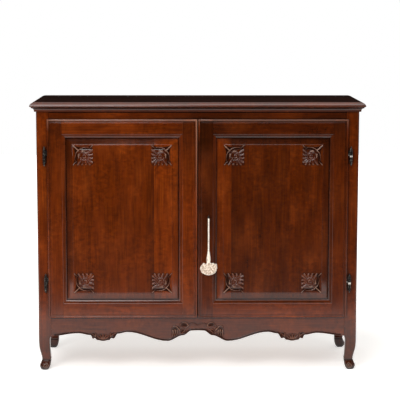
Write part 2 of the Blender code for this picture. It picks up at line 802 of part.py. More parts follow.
def make_pintle(side, level):
    """Lower half of a hinge, on the post: barrel, finial, pin and a leaf let into the post."""
    word = "left" if side == LEFT else "right"
    name = "%s_%s_hinge_pintle" % (word, level)
    height = HINGE_HEIGHTS[level]
    pin = [(0.0, PIN_LENGTH), (PIN_RADIUS - PIN_POINT, PIN_LENGTH),
           (PIN_RADIUS, PIN_LENGTH - PIN_POINT), (PIN_RADIUS, -SEAT / 2), (HINGE_RADIUS, -SEAT / 2)]
    finial = [(r * HINGE_RADIUS, -h * HINGE_HALF_LENGTH) for r, h in FINIAL]
    half = turned(name, pin + finial, (side * HINGE_X, HINGE_Y, height), IRON)
    x = side * HINGE_X
    one = (x - LEAF_THICKNESS / 2, HINGE_Y + LEAF_ROOT, height - LEAF_HIGH)
    other = (x + LEAF_THICKNESS / 2, FRONT + LEAF_DEPTH, height - LEAF_LOW)
    shape(half, "UNION", boxes(name + "_leaf", (one, other)))
    mortise(post_name(side, "front"), one, other)


def make_socket(side, level, door):
    """Upper half of a hinge, on the door: barrel with a bore, finial and a leaf let into the stile."""
    word = "left" if side == LEFT else "right"
    name = "%s_door_%s_hinge_socket" % (word, level)
    height = HINGE_HEIGHTS[level]
    bore = PIN_RADIUS + PIN_PLAY
    finial = [(r * HINGE_RADIUS, h * HINGE_HALF_LENGTH) for r, h in reversed(FINIAL)]
    inside = [(HINGE_RADIUS, SEAT / 2), (bore, SEAT / 2), (bore, PIN_LENGTH + PIN_PLAY),
              (0.0, PIN_LENGTH + PIN_PLAY)]
    half = turned(name, finial + inside, (side * HINGE_X, HINGE_Y, height), IRON, door)
    leaf = socket_leaf(side, height)
    shape(half, "UNION", boxes(name + "_leaf", leaf))


def socket_leaf(side, height):
    """The leaf of a hinge's upper half, as two opposite corners."""
    y = FRONT - LEAF_SETBACK
    one = (side * (HINGE_X - LEAF_ROOT), y - LEAF_THICKNESS / 2, height + LEAF_LOW)
    other = (side * (DOOR_OUT - LEAF_DEPTH), y + LEAF_THICKNESS / 2, height + LEAF_HIGH)
    return one, other


# Doors

def frame_profile():
    """Section of a door frame: distance in from the outer edge, the same at the meeting edge, depth."""
    lip_back = DOOR_PROUD - LIP_CLEARANCE
    rebate = LIP_LAP + DOOR_GAP
    bead = arc((LIP_BEAD_RADIUS, LIP_BEAD_RADIUS), LIP_BEAD_RADIUS, LIP_BEAD_RADIUS,
               180, LIP_BEAD_END, MOULD_STEPS)
    quirk = [(2 * LIP_BEAD_RADIUS, QUIRK_DEPTH), (OUTER_MOULD - QUIRK_DEPTH, QUIRK_DEPTH),
             (OUTER_MOULD, 0.0)]
    ovolo = arc((FACE_WIDTH + MOULD_QUIRK, MOULD_DEPTH), INNER_MOULD - MOULD_QUIRK,
                MOULD_QUIRK - MOULD_DEPTH, 90, 0, MOULD_STEPS)
    face = [(FACE_WIDTH, 0.0)]
    groove_floor = FRAME_WIDTH - GROOVE_DEPTH
    groove = [(FRAME_WIDTH, GROOVE_FRONT), (groove_floor, GROOVE_FRONT), (groove_floor, GROOVE_BACK),
              (FRAME_WIDTH, GROOVE_BACK), (FRAME_WIDTH, DOOR_THICKNESS)]
    outline = [(d, d, depth) for d, depth in bead + quirk + face + ovolo + groove]
    outline += [(rebate, MEETING_REBATE, DOOR_THICKNESS), (rebate, MEETING_REBATE, lip_back),
                (0.0, 0.0, lip_back)]
    return outline


def make_door(side, door):
    """A door: two stiles and two rails cut from one mitred frame section, round a fielded panel."""
    word = "left_door" if side == LEFT else "right_door"

    def place(inward, up, depth):
        return (side * (DOOR_OUT - inward), DOOR_FACE + depth, DOOR_BOTTOM + up)

    def region(name, outline):
        flat = [(side * (DOOR_OUT - u), DOOR_BOTTOM + v) for u, v in outline]
        low = -DOOR_BACK - CUT_MARGIN
        return plate(name, flat, low, -DOOR_FACE + CUT_MARGIN, UPRIGHT)

    corners = []
    for hinge_end, top_end in ((True, False), (True, True), (False, True), (False, False)):
        section = []
        for inset, meeting_inset, depth in frame_profile():
            inward = inset if hinge_end else DOOR_WIDTH - meeting_inset
            up = DOOR_HEIGHT - inset if top_end else inset
            section.append(place(inward, up, depth))
        corners.append(section)
    frame = skin(word + "_frame", corners, ring=True)

    face = FACE_WIDTH
    sight = FRAME_WIDTH + CUT_MARGIN
    joint = SEAT * math.sqrt(2)
    stile = [(-CUT_MARGIN, -CUT_MARGIN), (face, -CUT_MARGIN), (face, face), (sight, sight),
             (sight, DOOR_HEIGHT - sight), (face, DOOR_HEIGHT - face),
             (face, DOOR_HEIGHT + CUT_MARGIN), (-CUT_MARGIN, DOOR_HEIGHT + CUT_MARGIN)]
    rail = [(face + joint, -CUT_MARGIN), (face + joint, face), (sight + joint, sight),
            (DOOR_WIDTH - sight - joint, sight), (DOOR_WIDTH - face - joint, face),
            (DOOR_WIDTH - face - joint, -CUT_MARGIN)]
    regions = {
        "hinge_stile": stile,
        "meeting_stile": [(DOOR_WIDTH - u, v) for u, v in stile],
        "bottom_rail": rail,
        "top_rail": [(u, DOOR_HEIGHT - v) for u, v in rail],
    }
    frames = {}
    for part, outline in regions.items():
        name = word + "_" + part
        frames[part] = piece(name, frame, WALNUT, door)
        shape(frames[part], "INTERSECT", region(name + "_region", outline))

    tenons = {"bottom_rail": [], "top_rail": []}
    pockets = {"hinge_stile": [], "meeting_stile": []}
    ends = (("hinge_stile", face, -1), ("meeting_stile", DOOR_WIDTH - face, 1))
    for part, low, high in (("bottom_rail", DOOR_TENON_LOW, DOOR_TENON_HIGH),
                            ("top_rail", DOOR_HEIGHT - DOOR_TENON_HIGH, DOOR_HEIGHT - DOOR_TENON_LOW)):
        for stile_part, shoulder, into in ends:
            root = shoulder - into * TENON_ROOT
            tip = shoulder + into * DOOR_TENON_LENGTH
            tenon = (place(root, low, GROOVE_FRONT + SEAT), place(tip, high, GROOVE_BACK - SEAT))
            tenons[part].append(tenon)
            mouth = shoulder - into * joint
            pocket = (place(mouth, low - SEAT, GROOVE_FRONT),
                      place(tip + into * SEAT, high + SEAT, GROOVE_BACK))
            pockets[stile_part].append(pocket)
    for height in HINGE_HEIGHTS.values():
        one, other = socket_leaf(side, height)
        low = (side * (DOOR_OUT + CUT_MARGIN), one[1] - SEAT, one[2] - SEAT)
        high = (other[0] - side * SEAT, other[1] + SEAT, other[2] + SEAT)
        pockets["hinge_stile"].append((low, high))
    for part, spans in tenons.items():
        shape(frames[part], "UNION", boxes("%s_%s_tenons" % (word, part), *spans))
    for part, spans in pockets.items():
        shape(frames[part], "DIFFERENCE", boxes("%s_%s_pockets" % (word, part), *spans))

    edge = FRAME_WIDTH - GROOVE_DEPTH + PANEL_PLAY
    levels = panel_levels(GROOVE_FRONT)
    panel = fielded(word + "_panel", (edge, DOOR_WIDTH - edge), (edge, DOOR_HEIGHT - edge), levels,
                    place, WALNUT, door)
    field_edge = edge + levels[-1][0]
    carve_corners(panel, place, field_edge, levels[-1][1])
    for level in HINGE_HEIGHTS:
        make_socket(side, level, door)
    return frames


def carve_corners(panel, place, field_edge, field_depth):
    """Raised four-pointed ornaments with an oval boss, one in each corner of a panel's field."""
    half = CARVING_SIZE / 2
    side_points = [-1 + 2 * step / CARVING_STEPS for step in range(CARVING_STEPS)]
    edge = [(t * half, CARVING_WAIST * (1 - t * t) - half) for t in side_points]
    outline = []
    for quarter in range(4):
        turn = Matrix.Rotation(math.radians(90 * quarter), 2)
        outline += [turn @ Vector(point) for point in edge]
    inset = field_edge + CARVING_MARGIN + half
    stars = []
    bosses = []
    for inward in (inset, DOOR_WIDTH - inset):
        for up in (inset, DOOR_HEIGHT - inset):
            centre = Vector(place(inward, up, field_depth))
            flat = [(centre.x + point.x, centre.z + point.y) for point in outline]
            sunk, proud = -centre.y - CARVING_RELIEF, -centre.y + CARVING_RELIEF
            stars.append(plate("star", flat, sunk, proud, UPRIGHT))
            bm = bmesh.new()
            size = Matrix.Diagonal((BOSS_WIDTH / 2, BOSS_RELIEF, BOSS_LENGTH / 2, 1.0))
            bmesh.ops.create_uvsphere(bm, u_segments=SMALL_ROUND_STEPS, v_segments=BOSS_RINGS, radius=1.0,
                                      matrix=Matrix.Translation(centre) @ size)
            bosses.append(to_mesh("boss", bm))
    shape(panel, "UNION", merged(panel.name + "_stars", stars))
    shape(panel, "UNION", merged(panel.name + "_bosses", bosses))


# Lock and key on the right door, keeper on the left door

def make_lock(door, meeting_stile):
    """Rim lock behind the right meeting stile: case, sliding bolt and key."""
    back = DOOR_BACK + SEAT
    left = DOOR_GAP + LOCK_EDGE_GAP
    low = KEY_HEIGHT - LOCK_DROP
    high = KEY_HEIGHT + LOCK_RISE
    block = ((left, back, low), (left + LOCK_WIDTH, back + LOCK_DEPTH, high))
    case = piece("lock_case", boxes("lock_case", block), IRON, door)
    hollow = ((left + LOCK_WALL, back - CUT_MARGIN, low + LOCK_WALL),
              (left + LOCK_WIDTH - LOCK_WALL, back + LOCK_DEPTH - LOCK_WALL, high - LOCK_WALL))
    shape(case, "DIFFERENCE", boxes("lock_case_hollow", hollow))

    bolt_low = KEY_HEIGHT + LOCK_BOLT_LOW
    bolt_high = bolt_low + LOCK_BOLT_HEIGHT
    bolt_front = back + LOCK_BOLT_SETBACK
    bolt_back = bolt_front + LOCK_BOLT_THICKNESS
    slot = ((left - CUT_MARGIN, bolt_front - BOLT_PLAY, bolt_low - BOLT_PLAY),
            (left + CUT_MARGIN, bolt_back + BOLT_PLAY, bolt_high + BOLT_PLAY))
    shape(case, "DIFFERENCE", boxes("lock_case_slot", slot))

    slide_at = (left, (bolt_front + bolt_back) / 2, (bolt_low + bolt_high) / 2)
    slide = carrier("lock_bolt_slide", slide_at, door)
    bolt_left = left + BOLT_PLAY
    span = ((bolt_left, bolt_front, bolt_low), (bolt_left + LOCK_BOLT_LENGTH, bolt_back, bolt_high))
    bolt = piece("lock_bolt", boxes("lock_bolt", span), IRON, slide)
    notch = ((KEY_X - NOTCH_LEFT, bolt_front - CUT_MARGIN, bolt_low - CUT_MARGIN),
             (KEY_X + NOTCH_RIGHT, bolt_back + CUT_MARGIN, bolt_low + NOTCH_HEIGHT))
    shape(bolt, "DIFFERENCE", boxes("lock_bolt_notch", notch))

    bow_y = DOOR_FACE - KEY_SHANK_OUT - BOW_WIRE - BOW_RADIUS
    turn = carrier("key_axis", (KEY_X, bow_y, KEY_HEIGHT), door)
    start = (KEY_X, bow_y + BOW_RADIUS, KEY_HEIGHT)
    end = (KEY_X, back + KEY_DEPTH, KEY_HEIGHT)
    key = piece("key", cylinder("key", start, end, KEY_SHANK_RADIUS), IRON, turn)
    bpy.ops.mesh.primitive_torus_add(major_radius=BOW_RADIUS, minor_radius=BOW_WIRE,
                                     major_segments=BOW_STEPS, minor_segments=BOW_WIRE_STEPS)
    ring = bpy.context.object
    bow = ring.data.copy()
    bow.name = "key_bow"
    bpy.data.objects.remove(ring)
    edge_on = Matrix.Rotation(math.radians(90), 4, "Y")
    bow.transform(Matrix.Translation((KEY_X, bow_y, KEY_HEIGHT)) @ edge_on)
    shape(key, "UNION", bow)
    bit = ((KEY_X - BIT_THICKNESS / 2, back + BIT_SETBACK, KEY_HEIGHT - BIT_LENGTH),
           (KEY_X + BIT_THICKNESS / 2, back + BIT_SETBACK + BIT_WIDTH, KEY_HEIGHT))
    shape(key, "UNION", boxes("key_bit", bit))

    mouth = (KEY_X, DOOR_FACE - CUT_MARGIN, KEY_HEIGHT)
    deep = (KEY_X, DOOR_BACK + CUT_MARGIN, KEY_HEIGHT)
    shape(meeting_stile, "DIFFERENCE", cylinder("keyhole", mouth, deep, KEY_SHANK_RADIUS + PIN_PLAY))
    way_half = BIT_THICKNESS / 2 + BOLT_PLAY
    way = ((KEY_X - way_half, DOOR_FACE - CUT_MARGIN, KEY_HEIGHT - BIT_LENGTH - BOLT_PLAY),
           (KEY_X + way_half, DOOR_BACK + CUT_MARGIN, KEY_HEIGHT))
    shape(meeting_stile, "DIFFERENCE", boxes("keyhole_way", way))


def make_keeper(door):
    """Box keeper behind the left meeting stile, which the lock bolt enters."""
    back = DOOR_BACK + SEAT
    edge = -DOOR_GAP - KEEPER_EDGE_GAP
    low = KEY_HEIGHT + LOCK_BOLT_LOW
    high = low + LOCK_BOLT_HEIGHT
    front_of_bolt = back + LOCK_BOLT_SETBACK
    back_of_bolt = front_of_bolt + LOCK_BOLT_THICKNESS
    block = ((edge - KEEPER_WIDTH, back, low - KEEPER_WALL - BOLT_PLAY),
             (edge, back_of_bolt + BOLT_PLAY + KEEPER_WALL, high + KEEPER_WALL + BOLT_PLAY))
    keeper = piece("lock_keeper", boxes("lock_keeper", block), IRON, door)
    pocket = ((edge - KEEPER_WIDTH + KEEPER_WALL, front_of_bolt - BOLT_PLAY, low - BOLT_PLAY),
              (edge + CUT_MARGIN, back_of_bolt + BOLT_PLAY, high + BOLT_PLAY))
    shape(keeper, "DIFFERENCE", boxes("lock_keeper_pocket", pocket))


# Slide bolts behind the left meeting stile

def make_slide_bolt(level, door):
    """A rod with a knob that slides in a guide with two staples; it stands clear of its pocket."""
    up = 1 if level == "top" else -1
    edge = OPENING_TOP - DOOR_GAP if level == "top" else OPENING_BOTTOM + DOOR_GAP
    x = -SLIDE_X
    plate_front = DOOR_BACK + SEAT
    plate_back = plate_front + GUIDE_PLATE

    def level_at(distance):
        return edge - up * distance

    guide_name = "left_%s_bolt_guide" % level
    guide_end = GUIDE_END_GAP + GUIDE_LENGTH
    span = ((x - GUIDE_WIDTH / 2, plate_front, level_at(GUIDE_END_GAP)),
            (x + GUIDE_WIDTH / 2, plate_back, level_at(guide_end)))
    guide = piece(guide_name, boxes(guide_name, span), IRON, door)
    staples = []
    staple_back = SLIDE_Y + SLIDE_RADIUS + PIN_PLAY + STAPLE_WALL
    for start in (GUIDE_END_GAP + STAPLE_INSET, guide_end - STAPLE_INSET - STAPLE_HEIGHT):
        one = (x - STAPLE_WIDTH / 2, plate_back - GUIDE_PLATE / 2, level_at(start))
        other = (x + STAPLE_WIDTH / 2, staple_back, level_at(start + STAPLE_HEIGHT))
        staples.append((one, other))
    shape(guide, "UNION", boxes(guide_name + "_staples", *staples))
    bore = cylinder(guide_name + "_bore", (x, SLIDE_Y, level_at(-CUT_MARGIN)),
                    (x, SLIDE_Y, level_at(guide_end + CUT_MARGIN)), SLIDE_RADIUS + PIN_PLAY)
    shape(guide, "DIFFERENCE", bore)

    slide = carrier("left_%s_bolt_slide" % level, (x, SLIDE_Y, level_at(SLIDE_END_GAP)), door)
    name = "left_%s_slide_bolt" % level
    rod = cylinder(name, (x, SLIDE_Y, level_at(SLIDE_END_GAP)),
                   (x, SLIDE_Y, level_at(SLIDE_END_GAP + SLIDE_LENGTH)), SLIDE_RADIUS)
    bolt = piece(name, rod, IRON, slide)
    knob = cylinder(name + "_knob", (x, SLIDE_Y, level_at(SLIDE_KNOB_AT)),
                    (x, SLIDE_Y + SLIDE_KNOB_LENGTH, level_at(SLIDE_KNOB_AT)), SLIDE_KNOB_RADIUS)
    shape(bolt, "UNION", knob)


# Key tassel

def make_tassel(door):
    """Cord, wrapped head and half-moon fringe, hanging from the front of the key's bow."""
    swing = carrier("tassel_swing", (KEY_X, TASSEL_Y, KEY_HEIGHT), door)
    line = []
    for step in range(CORD_POINTS):
        line.append((KEY_X, TASSEL_Y, KEY_HEIGHT - CORD_LENGTH * step / (CORD_POINTS - 1)))
    piece("tassel_cord", tube("tassel_cord", line, CORD_RADIUS, CORD_RESOLUTION), COTTON, swing)

    profile = [(radius, -share * HEAD_LENGTH) for radius, share in HEAD_PROFILE]
    profile = [(0.0, 0.0)] + profile + [(0.0, -HEAD_LENGTH)]
    turned("tassel_head", profile, (KEY_X, TASSEL_Y, HEAD_TOP), COTTON, swing)

    horn = math.radians(SKIRT_HORN_ANGLE)
    half_height = SKIRT_DROP / (1 + math.sin(horn))
    middle = -half_height * math.sin(horn)
    moon = arc((0.0, middle), SKIRT_WIDTH / 2, half_height, 180 - SKIRT_HORN_ANGLE, 360 + SKIRT_HORN_ANGLE,
               SKIRT_STEPS)
    horn_x = SKIRT_WIDTH / 2 * math.cos(horn)
    tufts = []
    for knot in range(1, 2 * SKIRT_TUFTS):
        x = horn_x * (1 - knot / SKIRT_TUFTS)
        tufts.append((x, -SKIRT_TUFT_HEIGHT * (knot % 2)))
    outline = [(KEY_X + x, SKIRT_TOP + z) for x, z in moon + tufts]
    half = SKIRT_THICKNESS / 2
    mesh = plate("tassel_skirt", outline, -TASSEL_Y - half, -TASSEL_Y + half, UPRIGHT)
    piece("tassel_skirt", mesh, COTTON, swing)


def main():
    make_top()
    make_cornice()
    posts = {}
    for row in ("front", "back"):
        for side in (LEFT, RIGHT):
            posts[post_name(side, row)] = make_post(side, row)
    make_front_rail()
    make_apron()
    for side in (LEFT, RIGHT):
        make_side(side)
        for level in HINGE_HEIGHTS:
            make_pintle(side, level)
    make_back()
    make_inside()
    for name, post in posts.items():
        shape(post, "DIFFERENCE", boxes(name + "_mortises", *MORTISES[name]))

    left_door = carrier("left_door_axis", (-HINGE_X, HINGE_Y, DOOR_BOTTOM))
    right_door = carrier("right_door_axis", (HINGE_X, HINGE_Y, DOOR_BOTTOM))
    make_door(LEFT, left_door)
    right_frames = make_door(RIGHT, right_door)
    make_keeper(left_door)
    for level in ("top", "bottom"):
        make_slide_bolt(level, left_door)
    make_lock(right_door, right_frames["meeting_stile"])
    make_tassel(right_door)


main()
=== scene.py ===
"""Looks of a two-door walnut credenza, dressed over its packed joinery.

Laid out as an add-on and run as a script: each operator makes one group of pieces, and main() calls
them in order. Metres, +Z up, front towards -Y.
"""
import json
import math
from functools import partial

import bmesh
import bpy
import numpy as np
from bpy.props import FloatProperty, FloatVectorProperty, PointerProperty
from bpy.types import Operator, Panel, PropertyGroup
from mathutils import Matrix, Vector

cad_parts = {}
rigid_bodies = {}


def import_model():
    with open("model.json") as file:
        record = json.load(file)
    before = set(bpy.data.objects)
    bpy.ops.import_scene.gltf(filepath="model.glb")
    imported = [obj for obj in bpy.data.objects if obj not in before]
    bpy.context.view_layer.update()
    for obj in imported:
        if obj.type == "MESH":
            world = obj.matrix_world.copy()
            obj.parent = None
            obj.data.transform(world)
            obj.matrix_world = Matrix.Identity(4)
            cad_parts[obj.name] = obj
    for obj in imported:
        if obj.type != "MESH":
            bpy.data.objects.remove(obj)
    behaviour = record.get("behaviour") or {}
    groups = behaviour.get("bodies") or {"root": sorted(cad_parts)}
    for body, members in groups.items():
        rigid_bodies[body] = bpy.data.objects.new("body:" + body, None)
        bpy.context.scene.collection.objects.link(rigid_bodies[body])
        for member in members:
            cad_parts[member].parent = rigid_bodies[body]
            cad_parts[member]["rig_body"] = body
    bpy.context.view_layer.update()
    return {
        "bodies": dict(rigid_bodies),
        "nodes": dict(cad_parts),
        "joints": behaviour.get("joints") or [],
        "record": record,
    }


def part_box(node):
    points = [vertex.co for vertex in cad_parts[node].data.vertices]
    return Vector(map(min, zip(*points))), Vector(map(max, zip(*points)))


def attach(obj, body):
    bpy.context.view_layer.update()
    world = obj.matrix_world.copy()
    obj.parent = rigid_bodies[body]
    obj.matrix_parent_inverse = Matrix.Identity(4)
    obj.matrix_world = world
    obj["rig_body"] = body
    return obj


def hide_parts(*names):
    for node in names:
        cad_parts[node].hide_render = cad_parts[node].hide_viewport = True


bl_info = {
    "name": "Walnut Credenza Looks",
    "version": (1, 0, 0),
    "blender": (4, 5, 0),
    "location": "View3D > Sidebar > Credenza",
    "description": "Dresses a two-door walnut credenza with mouldings, carving, ironwork and finishes",
    "category": "Add Mesh",
}

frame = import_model()
NODES = frame["nodes"]

# Places read from the frame
LEFT, RIGHT = -1, 1
SIDE_NAMES = {LEFT: "left", RIGHT: "right"}
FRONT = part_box("front_top_rail")[0].y
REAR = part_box("back_board_1")[1].y
TOP_LOW, TOP_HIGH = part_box("top_board")
UNDER_TOP = TOP_LOW.z
POST_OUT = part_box("front_right_post")[1].x
POST_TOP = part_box("front_right_post")[1].z
DOOR_LOW, DOOR_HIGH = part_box("right_door_hinge_stile")
DOOR_FACE, DOOR_BACK = DOOR_LOW.y, DOOR_HIGH.y
DOOR_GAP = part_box("right_door_meeting_stile")[0].x
DOOR_WIDTH = DOOR_HIGH.x - DOOR_GAP
DOOR_HEIGHT = DOOR_HIGH.z - DOOR_LOW.z
JOINTS = {joint["name"]: joint for joint in frame["joints"]}
KEY_AT = Vector(JOINTS["key_turn"]["pos_m"])
TASSEL_AT = Vector(JOINTS["tassel_swing"]["pos_m"])

MM = 0.001
# Gap between seated pieces, distance within which points are one, and angle up to which faces are one flat
SEAT = 0.0003
WELD = 0.00001
FLAT_WITHIN = math.radians(1)
# Edges past the first angle stay hard, and profiles are eased past the second, up to a share of their sides
CREASE = math.radians(38)
SHARP_TURN = math.radians(28)
CORNER_SHARE = 0.42
# A piece's grain starts at one of many small steps, and that of its next boards at larger ones
GRAIN_STARTS = 97
GRAIN_STEP = 0.25
BOARD_STEP = 6.3
# Turns that lay an outline upright, facing the front, or on edge, facing a side
UPRIGHT = Matrix.Rotation(math.radians(90), 4, "X")
EDGEWISE = Matrix(((0, 0, 1, 0), (1, 0, 0, 0), (0, 1, 0, 0), (0, 0, 0, 1)))


# Colours and properties

def linear(code):
    """An sRGB hex colour as linear red, green and blue."""
    channels = [int(code[start:start + 2], 16) / 255 for start in (1, 3, 5)]
    return [c / 12.92 if c <= 0.04045 else ((c + 0.055) / 1.055) ** 2.4 for c in channels]


def length(name, default, description):
    """A size that a user may change, in metres."""
    return FloatProperty(name=name, description=description, default=default, unit="LENGTH", precision=4)


def angle(name, degrees, description):
    """An angle that a user may change, given in degrees."""
    return FloatProperty(name=name, description=description, default=math.radians(degrees), subtype="ANGLE")


def wattage(name, watts, description):
    """The power of a light."""
    return FloatProperty(name=name, description=description, default=watts, unit="POWER")


def colour(name, code, description):
    """A colour that a user may change."""
    return FloatVectorProperty(name=name, description=description, default=linear(code), subtype="COLOR",
                               min=0.0, max=1.0)


class CREDENZA_PG_sizes(PropertyGroup):
    """Sizes of the dressed pieces, which follow the joinery's own sizes."""

    arris: length("Arris", 0.0009, "Rounding of a worn edge")
    roll_width: length("Roll width", 0.0260, "Depth of the top's rolled edge")
    roll_height: length("Roll height", 0.0185, "Height of the top's rolled edge")
    top_bevel: length("Top lower bevel", 0.0050, "Bevel under the top's rolled edge")
    cornice_reach: length("Cornice reach", 0.0180, "How far the cornice stands out from the posts")
    cornice_fillet: length("Cornice fillet", 0.0065, "Lower fillet of the cornice")
    cornice_list: length("Cornice list", 0.0030, "Flat lists above and below the cove")
    post: length("Post", 0.0530, "Width of a square post")
    post_round: length("Post round", 0.0100, "Rounding of a post's outer corner")
    leg_top: length("Leg top", 0.1500, "Height at which a post turns into a leg")
    curl_radius: length("Curl radius", 0.0017, "Half the thickness of a toe's curl")
    stock: length("Rail stock", 0.0340, "Thickness of the front rail and apron")
    bead_radius: length("Bead radius", 0.0045, "Radius of the bead along the apron")
    bead_inset: length("Bead inset", 0.0052, "Distance of the bead from the apron's edge")
    frame_width: length("Frame width", 0.0780, "Width of a door's stile or rail")
    outer_mould: length("Outer mould", 0.0150, "Width of the moulding round a door's edge")
    lip_bead: length("Lip bead", 0.0043, "Radius of the bead on a door's edge")
    quirk: length("Quirk", 0.0025, "Depth of the groove beside the lip's bead")
    inner_mould: length("Inner mould", 0.0160, "Width of the moulding round a panel")
    mould_depth: length("Mould depth", 0.0085, "Depth of the moulding round a panel")
    mould_quirk: length("Mould quirk", 0.0015, "Step at the start of the panel's moulding")
    groove_depth: length("Groove depth", 0.0100, "Depth of the groove that holds a panel")
    groove_width: length("Groove width", 0.0070, "Width of the groove that holds a panel")
    bevel_width: length("Panel bevel", 0.0270, "Width of a fielded panel's bevel")
    bevel_rise: length("Bevel rise", 0.0045, "Rise of a fielded panel's bevel")
    field_step: length("Field step", 0.0025, "Step from the bevel up to the field")
    carving: length("Carving", 0.0840, "Side of a carved corner")
    carving_pitch: length("Carving pitch", 0.0009, "Spacing of the carved surface's points")
    hinge_radius: length("Hinge radius", 0.0065, "Radius of a hinge's barrel")
    nail_radius: length("Nail radius", 0.0028, "Radius of a nail's head")
    screw_radius: length("Screw radius", 0.0034, "Radius of a screw's head")
    cord_diameter: length("Cord diameter", 0.0068, "Thickness of the tassel's twisted cord")
    yarn: length("Yarn", 0.0017, "Thickness of the fringe's yarn")


class CREDENZA_PG_colours(PropertyGroup):
    """Colours of the finishes."""

    heart: colour("Heartwood", "#602302", "Main colour of the waxed walnut")
    dark_grain: colour("Dark grain", "#481902", "Dark bands of the walnut")
    light_grain: colour("Light grain", "#7C3504", "Light streaks of the walnut")
    # Also the colour of painted shade in hollows, joints and strips
    old_wax: colour("Old wax", "#150803", "Wax and dust in the hollows")
    # Also the colour of painted highlights on carved crests, door lips and toe curls
    rubbed: colour("Rubbed wood", "#80604F", "Crests of the carving, rubbed pale")
    inside: colour("Inside wood", "#8A5F38", "Plain wood of the inside and the back")
    inside_dark: colour("Inside grain", "#5A371C", "Dark grain of the plain wood")
    iron: colour("Iron", "#2A2624", "Blackened iron")
    bright_iron: colour("Worn iron", "#8C8780", "Iron rubbed bright")
    # A painted glint, laid on the right hinges' collars
    polished: colour("Polished iron", "#E6E0D8", "Iron that turns on iron")
    cotton: colour("Cotton", "#FBEEDF", "Undyed cotton of the tassel")
    # Also the colour of painted shade in the gaps of the fringe
    cotton_shade: colour("Cotton shade", "#9C7B5A", "Soiled hollows of the cotton")
    paper: colour("Floor", "#F4F3F1", "Pale studio floor")


class CREDENZA_PG_stage(PropertyGroup):
    """Camera and light."""

    eye: FloatVectorProperty(name="Eye", description="Place of the camera", size=3, subtype="TRANSLATION",
                             default=(-0.063, FRONT - 6.185, 1.539))
    yaw: angle("Yaw", -0.67, "Turn of the camera to its left")
    pitch: angle("Pitch", 7.44, "Tilt of the camera downwards")
    roll: angle("Roll", 0.05, "Roll of the camera")
    lens: FloatProperty(name="Lens", description="Focal length in millimetres", default=133.7, unit="CAMERA")
    key_power: wattage("Key light", 122.0, "Power of the front light in watts")
    top_power: wattage("Top light", 34.0, "Power of the light overhead in watts")
    fill_power: wattage("Fill light", 5.0, "Power of the side light in watts")
    ambient: FloatProperty(name="Ambient", description="Even light from all round", default=0.47)


# Meshes

def arc(centre, across, along, start, end, steps):
    """Points on part of an ellipse, from one angle in degrees to another."""
    turns = [math.radians(start + (end - start) * step / steps) for step in range(steps + 1)]
    return [(centre[0] + across * math.cos(turn), centre[1] + along * math.sin(turn)) for turn in turns]


def circle(radius, steps):
    """Points round a circle about the origin."""
    return arc((0.0, 0.0), radius, radius, 0, 360, steps)[:-1]


def eased(stations, steps):
    """Points through stations of place and height, level at each station."""
    points = [stations[0]]
    for (start, low), (end, high) in zip(stations, stations[1:]):
        for step in range(1, steps + 1):
            share = step / steps
            rise = (1 - math.cos(math.pi * share)) / 2
            points.append((start + (end - start) * share, low + (high - low) * rise))
    return points


def through(points, steps):
    """A smooth line through points."""
    knots = [Vector(point) for point in points]
    knots = [2 * knots[0] - knots[1]] + knots + [2 * knots[-1] - knots[-2]]
    line = []
    for a, b, c, d in zip(knots, knots[1:], knots[2:], knots[3:]):
        for step in range(steps):
            t = step / steps
            line.append(0.5 * (2 * b + (c - a) * t + (2 * a - 5 * b + 4 * c - d) * t * t
                               + (3 * b - a - 3 * c + d) * t ** 3))
    return line + [knots[-2]]


def rounded(profile, radius, closed=True):
    """A profile whose sharp corners are eased, each by three points."""
    points = [Vector(point) for point in profile]
    made = []
    for index, here in enumerate(points):
        back = points[index - 1] - here
        on = points[(index + 1) % len(points)] - here
        loose_end = not closed and index in (0, len(points) - 1)
        if loose_end or (-back).angle(on) < SHARP_TURN:
            made.append(here)
            continue
        start = here + back.normalized() * min(radius, back.length * CORNER_SHARE)
        end = here + on.normalized() * min(radius, on.length * CORNER_SHARE)
        made += [start, start * 0.25 + here * 0.5 + end * 0.25, end]
    return made


def to_mesh(name, bm):
    """Close a bmesh into a mesh whose faces point outwards."""
    bmesh.ops.recalc_face_normals(bm, faces=bm.faces)
    mesh = bpy.data.meshes.new(name)
    bm.to_mesh(mesh)
    bm.free()
    return mesh


def skin(name, sections, ring=False):
    """A body drawn over like sections, capped at its ends or closed into a ring."""
    bm = bmesh.new()
    rows = [[bm.verts.new(point) for point in section] for section in sections]
    pairs = list(zip(rows, rows[1:]))
    if ring:
        pairs.append((rows[-1], rows[0]))
    else:
        bm.faces.new(rows[0])
        bm.faces.new(rows[-1])
    for one, other in pairs:
        for here in range(len(one)):
            bm.faces.new((one[here - 1], one[here], other[here], other[here - 1]))
    return to_mesh(name, bm)


def slab(name, outline, low, high, lie):
    """A flat outline between two levels of its own normal, laid by a matrix."""
    return skin(name, [[lie @ Vector((a, b, level)) for a, b in outline] for level in (low, high)])


def block(name, one, other):
    """A box between two opposite corners."""
    bm = bmesh.new()
    low = Vector([min(pair) for pair in zip(one, other)])
    high = Vector([max(pair) for pair in zip(one, other)])
    place = Matrix.Translation((low + high) / 2) @ Matrix.Diagonal((*(high - low), 1.0))
    bmesh.ops.create_cube(bm, size=1.0, matrix=place)
    return to_mesh(name, bm)


def pointing_back(x, y, z):
    """A place whose axis points from the front to the back."""
    return Matrix.Translation((x, y, z)) @ Matrix.Rotation(math.radians(-90), 4, "X")


def lathe(name, profile, place, steps=28):
    """A turned body: a profile of radius and height about an axis that a matrix lays."""
    bm = bmesh.new()
    rows = []
    for radius, height in profile:
        if radius < WELD:
            rows.append([bm.verts.new((0.0, 0.0, height))])
            continue
        rows.append([bm.verts.new((x, y, height)) for x, y in circle(radius, steps)])
    for one, other in zip(rows, rows[1:]):
        for here in range(steps):
            corners = [one[(here - 1) % len(one)], one[here % len(one)],
                       other[here % len(other)], other[(here - 1) % len(other)]]
            bm.faces.new(list(dict.fromkeys(corners)))
    bmesh.ops.transform(bm, matrix=place, verts=bm.verts)
    return to_mesh(name, bm)


